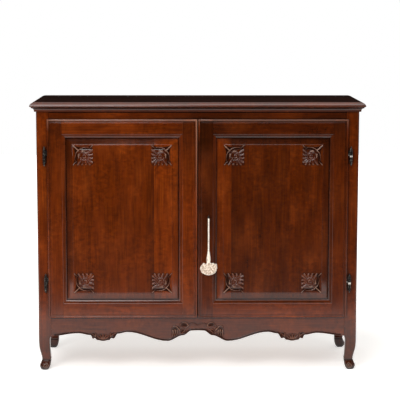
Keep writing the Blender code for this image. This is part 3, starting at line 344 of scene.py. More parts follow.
def tube(name, line, radius, sides):
    """A round bar along a line of points, with closed ends."""
    points = [Vector(point) for point in line]
    sections = []
    across = None
    for index, here in enumerate(points):
        run = points[min(index + 1, len(points) - 1)] - points[max(index - 1, 0)]
        run.normalize()
        if across is None:
            across = run.orthogonal().normalized()
        across = (across - run * across.dot(run)).normalized()
        up = run.cross(across)
        sections.append([here + across * a + up * b for a, b in circle(radius, sides)])
    return skin(name, sections)


def joined(name, meshes):
    """Several closed meshes as one mesh."""
    bm = bmesh.new()
    for mesh in meshes:
        bm.from_mesh(mesh)
        bpy.data.meshes.remove(mesh)
    mesh = bpy.data.meshes.new(name)
    bm.to_mesh(mesh)
    bm.free()
    return mesh


def placed(name, data):
    """A new object in the scene."""
    made = bpy.data.objects.new(name, data)
    bpy.context.scene.collection.objects.link(made)
    return made


def points_of(mesh):
    """The places of a mesh's points, one to a row."""
    return np.array([knot.co for knot in mesh.vertices])


def carved(name, mesh, operation, *tools):
    """A mesh cut by others, or joined with them, by exact Booleans."""
    body = placed(name, mesh)
    helpers = [placed(tool.name, tool) for tool in tools]
    for helper in helpers:
        boolean = body.modifiers.new(helper.name, "BOOLEAN")
        boolean.operation = operation
        boolean.solver = "EXACT"
        boolean.object = helper
    made = plain(body)
    for helper in helpers:
        bpy.data.objects.remove(helper)
    return made


def plain(body):
    """The evaluated mesh of an object, which is then removed."""
    graph = bpy.context.evaluated_depsgraph_get()
    made = bpy.data.meshes.new_from_object(body.evaluated_get(graph))
    bpy.data.objects.remove(body)
    if not made.polygons:
        raise RuntimeError(f"nothing was left of {made.name}")
    return made


def softened(node, width):
    """A copy of a CAD node, merged, with its hard arrises rounded."""
    bm = bmesh.new()
    bm.from_mesh(NODES[node].data)
    bmesh.ops.remove_doubles(bm, verts=bm.verts, dist=WELD)
    bmesh.ops.dissolve_limit(bm, angle_limit=FLAT_WITHIN, verts=bm.verts, edges=bm.edges)
    hard = [edge for edge in bm.edges if edge.is_manifold and edge.calc_face_angle() > CREASE]
    bmesh.ops.bevel(bm, geom=hard, offset=width, segments=2, profile=0.5, affect="EDGES", clamp_overlap=True)
    return to_mesh(node, bm)


def waxed(mesh, shares):
    """Mark each point of a mesh as darkened, up to 1, by old wax, soil and painted shade, or as made pale,
    down to -1, by wear and painted highlights.
    """
    layer = mesh.attributes.new("hollow", "FLOAT", "POINT")
    layer.data.foreach_set("value", np.broadcast_to(np.float32(shares), len(mesh.vertices)).copy())
    return mesh


def waxed_by_height(mesh, start, end):
    """Mark a mesh as darkened from one height and share to another."""
    return waxed(mesh, np.interp(points_of(mesh)[:, 2], (start[0], end[0]), (start[1], end[1])))


def glued(mesh, joints, across):
    """Cut a mesh's faces where its boards are glued, or where a strip of other tone or painted shade starts,
    without opening it.
    """
    bm = bmesh.new()
    bm.from_mesh(mesh)
    normal = Vector([float(axis == across) for axis in range(3)])
    for joint in joints:
        everything = [*bm.verts, *bm.edges, *bm.faces]
        bmesh.ops.bisect_plane(bm, geom=everything, plane_co=normal * joint, plane_no=normal)
    bm.to_mesh(mesh)
    bm.free()


def keep(name, mesh, finish, slot, stands_for=(), body=None, tones=(1.0,), joints=(), across=0,
         step=BOARD_STEP):
    """Finish a mesh as a piece: the grain and tone of its boards, its shading and its body; its slot is not
    used.
    """
    # Faces between the cuts take their own tones: glued boards, and strips of painted shadow and light
    glued(mesh, joints, across)
    mesh.name = name
    mesh.materials.clear()
    mesh.materials.append(finish_of(finish))
    mesh.shade_smooth()
    mesh.set_sharp_from_angle(angle=CREASE)
    first = sum(ord(letter) * (index + 1) for index, letter in enumerate(name)) % GRAIN_STARTS * GRAIN_STEP
    centres = np.zeros(len(mesh.polygons) * 3, np.float32)
    mesh.polygons.foreach_get("center", centres)
    board = np.searchsorted(joints, centres[across::3])
    for label, values in (("board", first + board * step), ("tone", np.array(tones)[board])):
        layer = mesh.attributes.new(label, "FLOAT", "FACE")
        layer.data.foreach_set("value", values.astype(np.float32))
    made = placed(name, mesh)
    made.modifiers.new("even_shading", "WEIGHTED_NORMAL").keep_sharp = True
    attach(made, body or NODES[stands_for[0]]["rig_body"])
    if stands_for:
        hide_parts(*stands_for)
    return made


keep_walnut = partial(keep, slot="waxed_walnut")
keep_iron = partial(keep, finish="blackened_iron", slot="dark_iron")
keep_cotton = partial(keep, finish="undyed_cotton", slot="cream_cotton")


# Finishes

def node(tree, kind, inputs=None, **settings):
    """Add a node: settings are its own, and inputs give a socket a value, or the node that links to it."""
    made = tree.nodes.new(kind)
    for name, value in settings.items():
        setattr(made, name, value)
    for key, value in (inputs or {}).items():
        if isinstance(value, bpy.types.Node):
            value = next(output for output in value.outputs if output.enabled)
        if isinstance(value, bpy.types.NodeSocket):
            tree.links.new(value, made.inputs[key])
        else:
            made.inputs[key].default_value = value
    return made


def new_finish(name):
    """An empty material, the means to add nodes to it, and the place of a point on its piece."""
    material = bpy.data.materials.new(name)
    material.use_nodes = True
    material.node_tree.nodes.clear()
    add = partial(node, material.node_tree)
    return material, add, add("ShaderNodeTexCoord").outputs["Object"]


def rgba(values):
    """A colour with full cover."""
    return (*values, 1.0)


def marked(add, label):
    """What is marked on a piece: its board, its tone, or its old wax, painted shade and painted highlights.
    """
    return add("ShaderNodeAttribute", attribute_name=label).outputs["Fac"]


def maths(add, operation, *values, clamp=False):
    """One step of arithmetic."""
    return add("ShaderNodeMath", dict(enumerate(values)), operation=operation, use_clamp=clamp)


def ranged(add, source, low, high, start, end):
    """A value that goes from start to end as the source goes from low to high, and no further."""
    return add("ShaderNodeMapRange", {0: source, 1: low, 2: high, 3: start, 4: end})


def mixed(add, share, ground, tint):
    """A ground with a share of a tint laid over it."""
    return add("ShaderNodeMix", {0: share, 6: ground, 7: rgba(tint)}, data_type="RGBA")


def tinted(add, ground, tint, source, low, high, most):
    """A ground with a tint laid over it, more and more of it as the source goes from low to high."""
    return mixed(add, ranged(add, source, low, high, 0.0, most), ground, tint)


def surfaced(material, add, sockets):
    """The material, with its shader and its output added."""
    shader = add("ShaderNodeBsdfPrincipled", sockets)
    add("ShaderNodeOutputMaterial", {"Surface": shader})
    return material


def specks(add, place, size_mm, detail):
    """Marks alike in all directions, from their real size."""
    return add("ShaderNodeTexNoise", {"Vector": place, "Scale": 1 / MM / size_mm, "Detail": detail})


def grained(add, place, along, table):
    """A wood's marks by name, drawn out along its grain from their real sizes, each board with its own."""
    seed = marked(add, "board")
    marks = {}
    for label, (across_mm, along_mm, detail, distortion) in table.items():
        scale = [1 / MM / across_mm] * 3
        scale[along] = 1 / MM / along_mm
        spread = add("ShaderNodeMapping", {"Vector": place, "Scale": scale})
        marks[label] = add("ShaderNodeTexNoise", {"Vector": spread, "W": seed, "Scale": 1.0, "Detail": detail,
                                                  "Distortion": distortion}, noise_dimensions="4D")
    return marks


# Marks of the woods: width and length in millimetres, detail, distortion. The walnut's pores are drawn at
# three times their real width, so that they show
WALNUT_MARKS = {
    "bands": (26, 210, 3, 1.1), "streaks": (4.5, 130, 3, 0.2), "clouds": (95, 170, 2, 0.4),
    "pores": (0.9, 13, 2, 0.0), "flame": (20, 15, 3, 0.7), "flame_patch": (80, 150, 1, 0.0),
    "planed": (55, 260, 1, 0.0),
}
POPLAR_MARKS = {"bands": (38, 1100, 4, 1.0), "streaks": (4, 240, 3, 0.0), "stains": (160, 300, 3, 0.0)}
# How far ambient occlusion reaches, whose darkening of hollows and joints is painted shade laid in with the
# old wax
SHELTER = 0.024


def walnut(name, along):
    """Walnut, planed by hand and waxed for many years.

    Soft bands about 26 mm wide with faint streaks of a few millimetres, a mottled flame figure that comes
    and goes, clouds of several centimetres, fine pores and a clear wax gloss. Wax and dust have darkened
    and dulled the hollows; painted shade from ambient occlusion and from marks on each piece darkens hollows,
    grooves and strips, painted highlights pale crests and lips, and some marked tones paint light and shade.
    """
    tones = bpy.context.scene.credenza_colours
    material, add, place = new_finish(name)
    marks = grained(add, place, along, WALNUT_MARKS)
    tone, hollow = marked(add, "tone"), marked(add, "hollow")
    shelter = add("ShaderNodeAmbientOcclusion", {"Distance": SHELTER}, samples=6).outputs["AO"]

    wood = tinted(add, rgba(tones.dark_grain), tones.heart, marks["bands"], 0.30, 0.66, 1.0)
    wood = tinted(add, wood, tones.light_grain, marks["streaks"], 0.48, 0.80, 0.50)
    wood = tinted(add, wood, tones.light_grain, marks["clouds"], 0.50, 0.80, 0.50)
    flame = maths(add, "ADD", marks["flame"], -0.5)
    patch = ranged(add, marks["flame_patch"], 0.36, 0.62, 0.5, 1.6)
    shade = maths(add, "MULTIPLY_ADD", flame, patch, 1.0)
    drift = ranged(add, marks["clouds"], 0.28, 0.72, 0.82, 1.14)
    shade = maths(add, "MULTIPLY", shade, drift)
    shade = maths(add, "MULTIPLY", shade, tone)
    wood = add("ShaderNodeVectorMath", {0: wood, "Scale": shade}, operation="SCALE")
    wood = tinted(add, wood, tones.old_wax, marks["pores"], 0.60, 0.74, 0.35)
    # Pale wear and painted highlights, where a piece is marked below zero
    wood = tinted(add, wood, tones.rubbed, hollow, -0.1, -1.0, 0.75)
    # Ambient occlusion painted into the colour as shade, with the marked shares of old wax and painted shade
    grime = ranged(add, shelter, 0.86, 0.30, 0.0, 0.80)
    sunk = maths(add, "MAXIMUM", hollow, 0.0)
    grime = maths(add, "MULTIPLY_ADD", sunk, 0.85, grime, clamp=True)
    wood = mixed(add, grime, wood, tones.old_wax)

    gloss = ranged(add, marks["clouds"], 0.25, 0.75, 0.13, 0.20)
    dull = ranged(add, hollow, 0.86, 0.96, 0.0, 0.40)
    rough = maths(add, "ADD", gloss, dull)
    polish = ranged(add, hollow, 0.66, 0.90, 0.40, 0.04)
    ground = maths(add, "MULTIPLY_ADD", marks["planed"], 0.6, marks["streaks"])
    bump = add("ShaderNodeBump", {"Height": ground, "Distance": 0.00020, "Strength": 0.35})
    fine = add("ShaderNodeBump", {"Height": marks["pores"], "Distance": 0.00015, "Strength": 0.4,
                                  "Normal": bump}, invert=True)
    return surfaced(material, add, {"Base Color": wood, "Roughness": rough, "Specular IOR Level": polish,
                                    "Coat Weight": 0.10, "Coat Roughness": 0.10, "Normal": fine})


def plain_wood(name, along):
    """Unfinished poplar of the inside and the back: pale brown, dry, darkened by age, sawn and planed."""
    tones = bpy.context.scene.credenza_colours
    material, add, place = new_finish(name)
    marks = grained(add, place, along, POPLAR_MARKS)
    wood = tinted(add, rgba(tones.inside), tones.inside_dark, marks["bands"], 0.35, 0.70, 1.0)
    wood = tinted(add, wood, tones.inside_dark, marks["streaks"], 0.52, 0.80, 0.6)
    shade = ranged(add, marks["stains"], 0.30, 0.72, 1.12, 0.66)
    wood = add("ShaderNodeVectorMath", {0: wood, "Scale": shade}, operation="SCALE")
    rough = ranged(add, marks["streaks"], 0.3, 0.7, 0.58, 0.78)
    bump = add("ShaderNodeBump", {"Height": marks["streaks"], "Distance": 0.0004, "Strength": 0.6})
    return surfaced(material, add, {"Base Color": wood, "Roughness": rough, "Normal": bump,
                                    "Specular IOR Level": 0.25})


def iron(name):
    """Wrought iron, filed and blackened: a dull dark grey with hammer marks and worn spots, and a painted
    glint where a piece is marked for it.
    """
    tones = bpy.context.scene.credenza_colours
    material, add, place = new_finish(name)
    marks = specks(add, place, 5.0, 3.0)
    grit = specks(add, place, 0.9, 2.0)
    metal = tinted(add, rgba(tones.iron), tones.bright_iron, marks, 0.52, 0.72, 0.75)
    # A painted glint where a piece is marked below zero
    handled = maths(add, "MULTIPLY", marked(add, "hollow"), -1.0, clamp=True)
    metal = mixed(add, handled, metal, tones.polished)
    rough = ranged(add, grit, 0.3, 0.7, 0.30, 0.52)
    bump = add("ShaderNodeBump", {"Height": marks, "Distance": 0.0005, "Strength": 0.5})
    return surfaced(material, add, {"Base Color": metal, "Roughness": rough, "Normal": bump, "Metallic": 1.0})


def cotton(name):
    """Undyed cotton yarn: cream, dull and a little hairy, soiled in patches, and darkened with painted shade
    where a piece is marked.
    """
    tones = bpy.context.scene.credenza_colours
    material, add, place = new_finish(name)
    # Fibres are drawn 0.6 mm wide, coarser than real ones, so that they show
    fibres = specks(add, place, 0.6, 2.0)
    soil = specks(add, place, 6.0, 2.0)
    yarn = tinted(add, rgba(tones.cotton), tones.cotton_shade, soil, 0.54, 0.68, 0.70)
    # Painted shade where a piece is marked, as on the fringe's body under its loops
    yarn = mixed(add, marked(add, "hollow"), yarn, tones.cotton_shade)
    bump = add("ShaderNodeBump", {"Height": fibres, "Distance": 0.0003, "Strength": 0.6})
    return surfaced(material, add, {"Base Color": yarn, "Normal": bump, "Roughness": 0.92,
                                    "Specular IOR Level": 0.15, "Sheen Weight": 0.35, "Sheen Roughness": 0.5})


# Each wood is made with its grain along each axis
FINISHES = {"blackened_iron": iron, "undyed_cotton": cotton}
for axis, letter in enumerate("xyz"):
    FINISHES["waxed_walnut_" + letter] = partial(walnut, along=axis)
    FINISHES["aged_poplar_" + letter] = partial(plain_wood, along=axis)


def finish_of(name):
    """The named finish, made the first time that it is asked for."""
    return bpy.data.materials.get(name) or FINISHES[name](name)


# Stage

# The lens's sensor in millimetres, and how far the camera sees
SENSOR_WIDTH = 36.0
SIGHT = 100.0
# Two corners of the paper floor, and how much darker its fibres are
FLOOR_LOW, FLOOR_HIGH = (-6.0, -1.44, -0.02), (6.0, 9.0, 0.0)
FIBRE_SHADE = 0.985
# Places and sizes of the lights, and the height that the overhead one is aimed at
KEY_PLACE, KEY_SIZE = (-1.4, -3.6, 3.1), (2.6, 1.8)
OVERHEAD_PLACE, OVERHEAD_SIZE = (0.1, -0.75, 2.7), (2.6, 1.5)
OVERHEAD_AIM = 1.0
FILL_PLACE, FILL_SIZE = (3.2, -3.0, 1.9), (1.8, 1.8)
# Tints of the light from all round and of the room in reflections, and how much less comes from the sides
DAYLIGHT = (1.0, 0.985, 0.96)
ROOM_TINT = (1.0, 0.97, 0.94)
WHITE = (1.0, 1.0, 1.0)
SIDE_SHARE = 0.35


def paper_floor(name):
    """Pale matt studio paper that glows, more so further out, so that shadows on it stay light."""
    tones = bpy.context.scene.credenza_colours
    material, add, place = new_finish(name)
    fibre = specks(add, place, 12.0, 3.0)
    dimmed = [channel * FIBRE_SHADE for channel in tones.paper]
    sheet = mixed(add, fibre, rgba(tones.paper), dimmed)
    away = add("ShaderNodeVectorMath", {0: place}, operation="LENGTH").outputs["Value"]
    glow = ranged(add, away, 0.9, 1.7, 0.60, 1.20)
    return surfaced(material, add, {"Base Color": sheet, "Roughness": 0.9, "Specular IOR Level": 0.1,
                                    "Emission Color": rgba(tones.paper), "Emission Strength": glow})


def studio_world(ambient):
    """White to the camera, soft light on matt faces, and in reflections a dark room with a pale ceiling."""
    world = bpy.data.worlds.new("studio")
    world.use_nodes = True
    world.node_tree.nodes.clear()
    add = partial(node, world.node_tree)
    rays = add("ShaderNodeLightPath").outputs
    axes = add("ShaderNodeSeparateXYZ", {0: add("ShaderNodeTexCoord").outputs["Generated"]}).outputs
    depth = maths(add, "ABSOLUTE", axes["Y"])
    sheet = ranged(add, axes["Z"], -0.168, -0.200, 0.008, 0.34)
    ahead = ranged(add, depth, 0.90, 0.72, sheet, 0.50)
    above = ranged(add, axes["Z"], 0.38, 0.86, 0.0, 0.50)
    aside = maths(add, "ABSOLUTE", axes["X"])
    flanks = ranged(add, aside, 0.35, 0.75, 1.0, 0.12)
    walls = maths(add, "MULTIPLY", ahead, flanks)
    room = maths(add, "ADD", walls, above)
    around = ranged(add, aside, 0.35, 0.90, ambient, ambient * SIDE_SHARE)
    even = add("ShaderNodeBackground", {"Color": rgba(DAYLIGHT), "Strength": around})
    dim = add("ShaderNodeBackground", {"Color": rgba(ROOM_TINT), "Strength": room})
    white = add("ShaderNodeBackground", {"Color": rgba(WHITE), "Strength": 1.0})
    lit = add("ShaderNodeMixShader", {0: rays["Is Glossy Ray"], 1: even, 2: dim})
    seen = add("ShaderNodeMixShader", {0: rays["Is Camera Ray"], 1: lit, 2: white})
    add("ShaderNodeOutputWorld", {"Surface": seen})
    return world


def area_light(name, place, aim, size, power):
    """A soft rectangular light that the camera doesn't see."""
    lamp = bpy.data.lights.new(name, "AREA")
    lamp.shape = "RECTANGLE"
    lamp.size, lamp.size_y = size
    lamp.energy = power
    made = placed(name, lamp)
    made.location = place
    made.rotation_euler = (Vector(aim) - Vector(place)).to_track_quat("-Z", "Y").to_euler()
    made.visible_camera = False


class CREDENZA_OT_stage(Operator):
    """Set the camera, the soft lights and the pale floor"""

    bl_idname = "credenza.stage"
    bl_label = "Stage"

    def execute(self, context):
        stage = context.scene.credenza_stage
        forward = Vector((-math.sin(stage.yaw) * math.cos(stage.pitch),
                          math.cos(stage.yaw) * math.cos(stage.pitch), -math.sin(stage.pitch)))
        level = Vector((math.cos(stage.yaw), math.sin(stage.yaw), 0.0))
        upward = level.cross(forward)
        right = level * math.cos(stage.roll) + upward * math.sin(stage.roll)
        upward = upward * math.cos(stage.roll) - level * math.sin(stage.roll)
        camera = placed("camera", bpy.data.cameras.new("camera"))
        camera.data.lens = stage.lens
        camera.data.sensor_width = SENSOR_WIDTH
        camera.data.clip_end = SIGHT
        camera.matrix_world = Matrix((right, upward, -forward)).transposed().to_4x4()
        camera.location = stage.eye
        context.scene.camera = camera

        floor = placed("floor", block("floor", FLOOR_LOW, FLOOR_HIGH))
        floor.data.materials.append(paper_floor("studio_paper"))

        aim = (0.0, FRONT, UNDER_TOP / 2)
        area_light("key", KEY_PLACE, aim, KEY_SIZE, stage.key_power)
        area_light("overhead", OVERHEAD_PLACE, (0.0, FRONT, OVERHEAD_AIM), OVERHEAD_SIZE, stage.top_power)
        area_light("fill", FILL_PLACE, aim, FILL_SIZE, stage.fill_power)
        context.scene.world = studio_world(stage.ambient)
        context.scene.view_settings.view_transform = "Standard"
        return {"FINISHED"}


# Key tassel

# Rim of the fringe in millimetres from the head's axis and its own top
FRINGE_RIM = ((0.0, 1.0), (-6.0, 0.5), (-9.5, -8.5), (-15.0, -3.5), (-19.5, 0.0), (-25.0, -5.5),
              (-30.0, -12.0), (-32.5, -19.0), (-31.5, -27.0), (-27.5, -35.0), (-20.0, -41.5), (-10.0, -45.5),
              (0.0, -47.0), (10.0, -46.0), (20.0, -42.5), (28.0, -35.0), (32.5, -26.0), (34.0, -17.0),
              (32.5, -8.0), (29.5, -2.0), (25.0, -5.5), (18.5, -1.0), (11.5, -7.0), (6.0, 0.5))
# The point that the fringe swells about, and its swelling: share of the rim, share of the depth
FRINGE_MIDDLE = -22.0
FRINGE_SWELL = ((1.0, 0.0), (0.97, 0.45), (0.86, 0.75), (0.62, 0.95), (0.30, 1.0))
# The fringe's body is painted dark, as shade in the gaps between its loops
FRINGE_SOIL = 0.9
# Loops of yarn over the fringe: how many on a square metre, their seed, and shares of the yarn's thickness
LOOP_DENSITY = 62000.0
LOOP_SEED = 5
LOOP_RADIUS = 1.5
LOOP_YARN = 0.62
# A loop's arc, how far it is spun to each side in radians, and its smallest and largest scale
LOOP_START, LOOP_SWEEP = math.radians(-20), math.radians(220)
LOOP_SPIN = 3.1
LOOP_SIZES = (0.75, 1.3)
# The cord's points, its turns of two plies and a ply's share of the whole thickness
CORD_STEPS = 13
TWIST_TURNS = 7
TWIST_STEPS = 12
PLY_SHARE = 0.27
# The head's radius and share of its height, from the cord down, and its turns of yarn
HEAD_LEVELS = ((0.0042, 0.0), (0.0050, 0.12), (0.0070, 0.38), (0.0086, 0.62), (0.0082, 0.82), (0.0068, 1.0))
WRAP_STEPS = 16
WRAP_PITCH = 0.92
# The knot's height over the head, its reach as a share of the cord's, its waves and its thickness
KNOT_RISE = 0.0075
KNOT_REACH = 0.40
KNOT_WAVE = 0.35
KNOT_RADIUS = 0.0017
KNOT_STEPS = 12


def twisted_cord(name, line, diameter, turns):
    """Two plies laid round each other along a straight line."""
    ply = diameter * PLY_SHARE
    offset = diameter / 2 - ply
    start, end = Vector(line[0]), Vector(line[-1])
    run = end - start
    across = run.orthogonal().normalized()
    up = run.normalized().cross(across)
    plies = []
    for phase in (0.0, math.pi):
        helix = []
        for step in range(turns * TWIST_STEPS + 1):
            share = step / (turns * TWIST_STEPS)
            turn = 2 * math.pi * turns * share + phase
            helix.append(start + run * share + (across * math.cos(turn) + up * math.sin(turn)) * offset)
        plies.append(tube(name, helix, ply, sides=8))
    return joined(name, plies)


def wrapped_head(name, low, high, sizes):
    """A swelling head of wood under close turns of yarn."""
    tall = high.z - low.z
    core = through([(radius - sizes.yarn / 2, -share * tall) for radius, share in HEAD_LEVELS], steps=4)
    steps = int(tall / (sizes.yarn * WRAP_PITCH)) * WRAP_STEPS
    place = Matrix.Translation((TASSEL_AT.x, TASSEL_AT.y, high.z))
    shell = [(0.0, 0.0)] + [tuple(point) for point in core] + [(0.0, -tall)]
    winding = []
    heights = [-point.y for point in core]
    radii = [point.x for point in core]
    for step in range(steps + 1):
        drop = sizes.yarn / 2 + (tall - sizes.yarn) * step / steps
        radius = float(np.interp(drop, heights, radii))
        turn = 2 * math.pi * step / WRAP_STEPS
        winding.append(place @ Vector((radius * math.cos(turn), radius * math.sin(turn), -drop)))
    return joined(name, [lathe(name, shell, place), tube(name, winding, sizes.yarn / 2, sides=6)])


def new_tree(name, source, result, sizes):
    """A Geometry Nodes tree with named inputs: the tree, the means to add nodes, and its inputs by name."""
    tree = bpy.data.node_groups.new(name, "GeometryNodeTree")
    tree.interface.new_socket(source, in_out="INPUT", socket_type="NodeSocketGeometry")
    for label, kind in sizes.items():
        tree.interface.new_socket(label, in_out="INPUT", socket_type=kind)
    tree.interface.new_socket(result, in_out="OUTPUT", socket_type="NodeSocketGeometry")
    add = partial(node, tree)
    return tree, add, add("NodeGroupInput").outputs


def set_out(add, points, piece, facing, axis, spin, seed, finish, scale=(1.0, 1.0, 1.0)):
    """Copies of a piece on points, each with one axis facing its own way and spun about it, as one mesh."""
    stand = add("FunctionNodeAlignRotationToVector", {"Vector": facing}, axis=axis)
    reach = Vector([spin * (letter == axis) for letter in "XYZ"])
    turn = add("FunctionNodeRandomValue", {"Min": -reach, "Max": reach, "Seed": seed},
               data_type="FLOAT_VECTOR")
    turned = add("FunctionNodeRotateRotation", {0: stand, 1: turn}, rotation_space="LOCAL")
    copies = add("GeometryNodeInstanceOnPoints", {"Points": points, "Instance": piece, "Rotation": turned,
                                                  "Scale": scale})
    real = add("GeometryNodeRealizeInstances", {0: copies})
    coloured = add("GeometryNodeSetMaterial", {"Geometry": real, "Material": finish})
    add("NodeGroupOutput", {0: coloured})


def loop_tree(finish):
    """Geometry Nodes that cover a body with short loops of yarn."""
    tree, add, given = new_tree("yarn_loops", "Body", "Loops", {
        "Loops per Square Metre": "NodeSocketFloat", "Loop Radius": "NodeSocketFloat",
        "Yarn Radius": "NodeSocketFloat", "Seed": "NodeSocketInt"})
    spots = add("GeometryNodeDistributePointsOnFaces", {
        "Mesh": given["Body"], "Density": given["Loops per Square Metre"], "Seed": given["Seed"]})
    bend = add("GeometryNodeCurveArc", {"Resolution": 6, "Radius": given["Loop Radius"],
                                        "Start Angle": LOOP_START, "Sweep Angle": LOOP_SWEEP})
    ring = add("GeometryNodeCurvePrimitiveCircle", {"Resolution": 5, "Radius": given["Yarn Radius"]})
    loop = add("GeometryNodeCurveToMesh", {"Curve": bend, "Profile Curve": ring, "Fill Caps": True})
    scale = add("FunctionNodeRandomValue", {2: LOOP_SIZES[0], 3: LOOP_SIZES[1], "Seed": given["Seed"]},
                data_type="FLOAT")
    set_out(add, spots.outputs["Points"], loop, spots.outputs["Normal"], "Y", LOOP_SPIN, given["Seed"],
            finish, scale)
    return tree


def grown(name, mesh, tree, values):
    """The mesh that a Geometry Nodes tree makes from another, with values for its named inputs."""
    body = placed(name, mesh)
    modifier = body.modifiers.new(tree.name, "NODES")
    modifier.node_group = tree
    for socket in tree.interface.items_tree:
        if socket.name in values:
            modifier[socket.identifier] = values[socket.name]
    return plain(body)


class CREDENZA_OT_tassel(Operator):
    """Make the key's tassel: twisted cord, wrapped head and fringe of loops"""

    bl_idname = "credenza.tassel"
    bl_label = "Key tassel"

    def execute(self, context):
        sizes = context.scene.credenza_sizes
        low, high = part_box("tassel_cord")
        drop = high.z - low.z
        line = [(TASSEL_AT.x, TASSEL_AT.y, high.z - drop * step / CORD_STEPS)
                for step in range(CORD_STEPS + 1)]
        plies = twisted_cord("cord", line, sizes.cord_diameter, TWIST_TURNS)
        flex = keep_cotton("tassel_twisted_cord", plies, stands_for=["tassel_cord"])
        head = keep_cotton("tassel_wrapped_head", wrapped_head("head", *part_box("tassel_head"), sizes),
                           stands_for=["tassel_head"])

        skirt_low, skirt_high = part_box("tassel_skirt")
        body = self.fan(skirt_high.z - sizes.yarn, (skirt_high.y - skirt_low.y) / 2 - sizes.yarn)
        loops = grown("fringe_loops", body.copy(), loop_tree(finish_of("undyed_cotton")), {
            "Loops per Square Metre": LOOP_DENSITY, "Loop Radius": sizes.yarn * LOOP_RADIUS,
            "Yarn Radius": sizes.yarn * LOOP_YARN, "Seed": LOOP_SEED})
        fringe = keep_cotton("tassel_fringe", joined("fringe", [waxed(body, FRINGE_SOIL), loops]),
                             stands_for=["tassel_skirt"])
        knot = self.knot(line[-1], sizes)
        return {"FINISHED"}

    def fan(self, top, half_deep):
        """A half-moon bolster with a notched top, thickest in its middle."""
        rim = [Vector((x * MM, z * MM)) for x, z in FRINGE_RIM]
        middle = Vector((0.0, FRINGE_MIDDLE * MM))
        front = [(size, -deep) for size, deep in reversed(FRINGE_SWELL)]
        sections = []
        for size, deep in front + list(FRINGE_SWELL[1:]):
            spots = [middle + (spot - middle) * size for spot in rim]
            y = TASSEL_AT.y + deep * half_deep
            sections.append([(TASSEL_AT.x + spot.x, y, top + spot.y) for spot in spots])
        return skin("fringe_body", sections)

    def knot(self, place, sizes):
        """The overhand knot above the head."""
        centre = Vector(place) + Vector((0.0, 0.0, KNOT_RISE))
        sections = []
        for turn in np.linspace(0.0, 2 * math.pi, KNOT_STEPS, endpoint=False):
            out = Vector((math.cos(turn), math.sin(turn), 0.0))
            wave = Vector((0.0, 0.0, KNOT_WAVE * math.sin(2 * turn)))
            middle = centre + (out + wave) * (sizes.cord_diameter * KNOT_REACH)
            ring = circle(KNOT_RADIUS, steps=8)
            sections.append([middle + out * a + Vector((0.0, 0.0, b)) for a, b in ring])
        return keep_cotton("tassel_knot", skin("knot", sections, ring=True), body="tassel")


# Top and cornice

TOP_CORNER = 0.003
# Tones of the top's edge and face, where the face's low tone paints its dark reflection, and of the cornice,
# and painted shade in the cornice's cove under the roll
TOP_TONES = (0.55, 0.17)
CORNICE_TONE = 0.60
COVE_GRIME = 0.95
COVE_GRIME_START = 1.6


class CREDENZA_OT_top(Operator):
    """Make the top board with its rolled edge, and the cornice under it"""

    bl_idname = "credenza.top"
    bl_label = "Top and cornice"

    def execute(self, context):
        sizes = context.scene.credenza_sizes
        tip = TOP_HIGH.z - sizes.roll_height
        roll = arc((sizes.roll_width, tip), sizes.roll_width, sizes.roll_height, 180, 90, steps=12)
        levels = [(sizes.roll_width, UNDER_TOP), (sizes.top_bevel, UNDER_TOP)] + roll
        levels = rounded(levels, sizes.arris * 2, closed=False)
        sections = []
        for inset, height in levels:
            wide, front = TOP_HIGH.x - inset, TOP_LOW.y + inset
            plan = [(-wide, front), (wide, front), (wide, TOP_HIGH.y), (-wide, TOP_HIGH.y)]
            sections.append([(point.x, point.y, height) for point in rounded(plan, TOP_CORNER)])
        keep_walnut("top_board_rolled", skin("top", sections), "waxed_walnut_x", stands_for=["top_board"],
                    tones=TOP_TONES, joints=[TOP_HIGH.z - sizes.arris], across=2, step=0)

        low, high = [corner.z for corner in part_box("cornice_front")]
        run = sizes.cornice_reach - sizes.cornice_fillet
        cove_low, cove_high = low + sizes.cornice_list, high - sizes.cornice_list
        cove = arc((sizes.cornice_reach, cove_low), -run, cove_high - cove_low, 0, 90, steps=10)
        profile = [(SEAT, low), (sizes.cornice_fillet, low), *cove[1:]]
        profile += [(sizes.cornice_reach, high), (SEAT, high)]
        profile = [tuple(point) for point in rounded(profile, sizes.arris)]
        # Painted shade up the cornice's cove, under the roll
        cove_grime = ((low + sizes.cornice_list * COVE_GRIME_START, 0.0), (cove_high, COVE_GRIME))
        ends = []
        for side in (LEFT, RIGHT):
            ends.append([(side * (POST_OUT + out - SEAT), FRONT - out, z) for out, z in profile])
            front = [(side * (POST_OUT + out), FRONT - out + SEAT, z) for out, z in profile]
            back = [(side * (POST_OUT + out), REAR, z) for out, z in profile]
            stem = "cornice_" + SIDE_NAMES[side]
            moulding = waxed_by_height(skin(stem, [front, back]), *cove_grime)
            keep_walnut(stem + "_moulded", moulding, "waxed_walnut_y", stands_for=[stem],
                        tones=[CORNICE_TONE])
        moulding = waxed_by_height(skin("cornice", ends), *cove_grime)
        keep_walnut("cornice_front_moulded", moulding, "waxed_walnut_x", stands_for=["cornice_front"],
                    tones=[CORNICE_TONE])
        return {"FINISHED"}


# Posts and cabriole legs

LEG_STEPS = 5
LEG_CORNER_STEPS = 7
# Levels of a leg: height, inset of its outer faces, inset of its inner faces, rounding of its corners
LEG_LEVELS = (
    (0.1500, 0.0000, 0.0530, 0.0015), (0.1380, 0.0000, 0.0482, 0.0080), (0.1220, 0.0000, 0.0468, 0.0110),
    (0.0930, 0.0024, 0.0474, 0.0110), (0.0570, 0.0106, 0.0496, 0.0110), (0.0470, 0.0116, 0.0507, 0.0110),
    (0.0425, 0.0130, 0.0488, 0.0110), (0.0390, 0.0100, 0.0500, 0.0120), (0.0300, 0.0074, 0.0490, 0.0130),
    (0.0190, 0.0038, 0.0470, 0.0140), (0.0090, 0.0044, 0.0435, 0.0130), (0.0030, 0.0074, 0.0395, 0.0120),
    (0.0000, 0.0108, 0.0374, 0.0105),
)
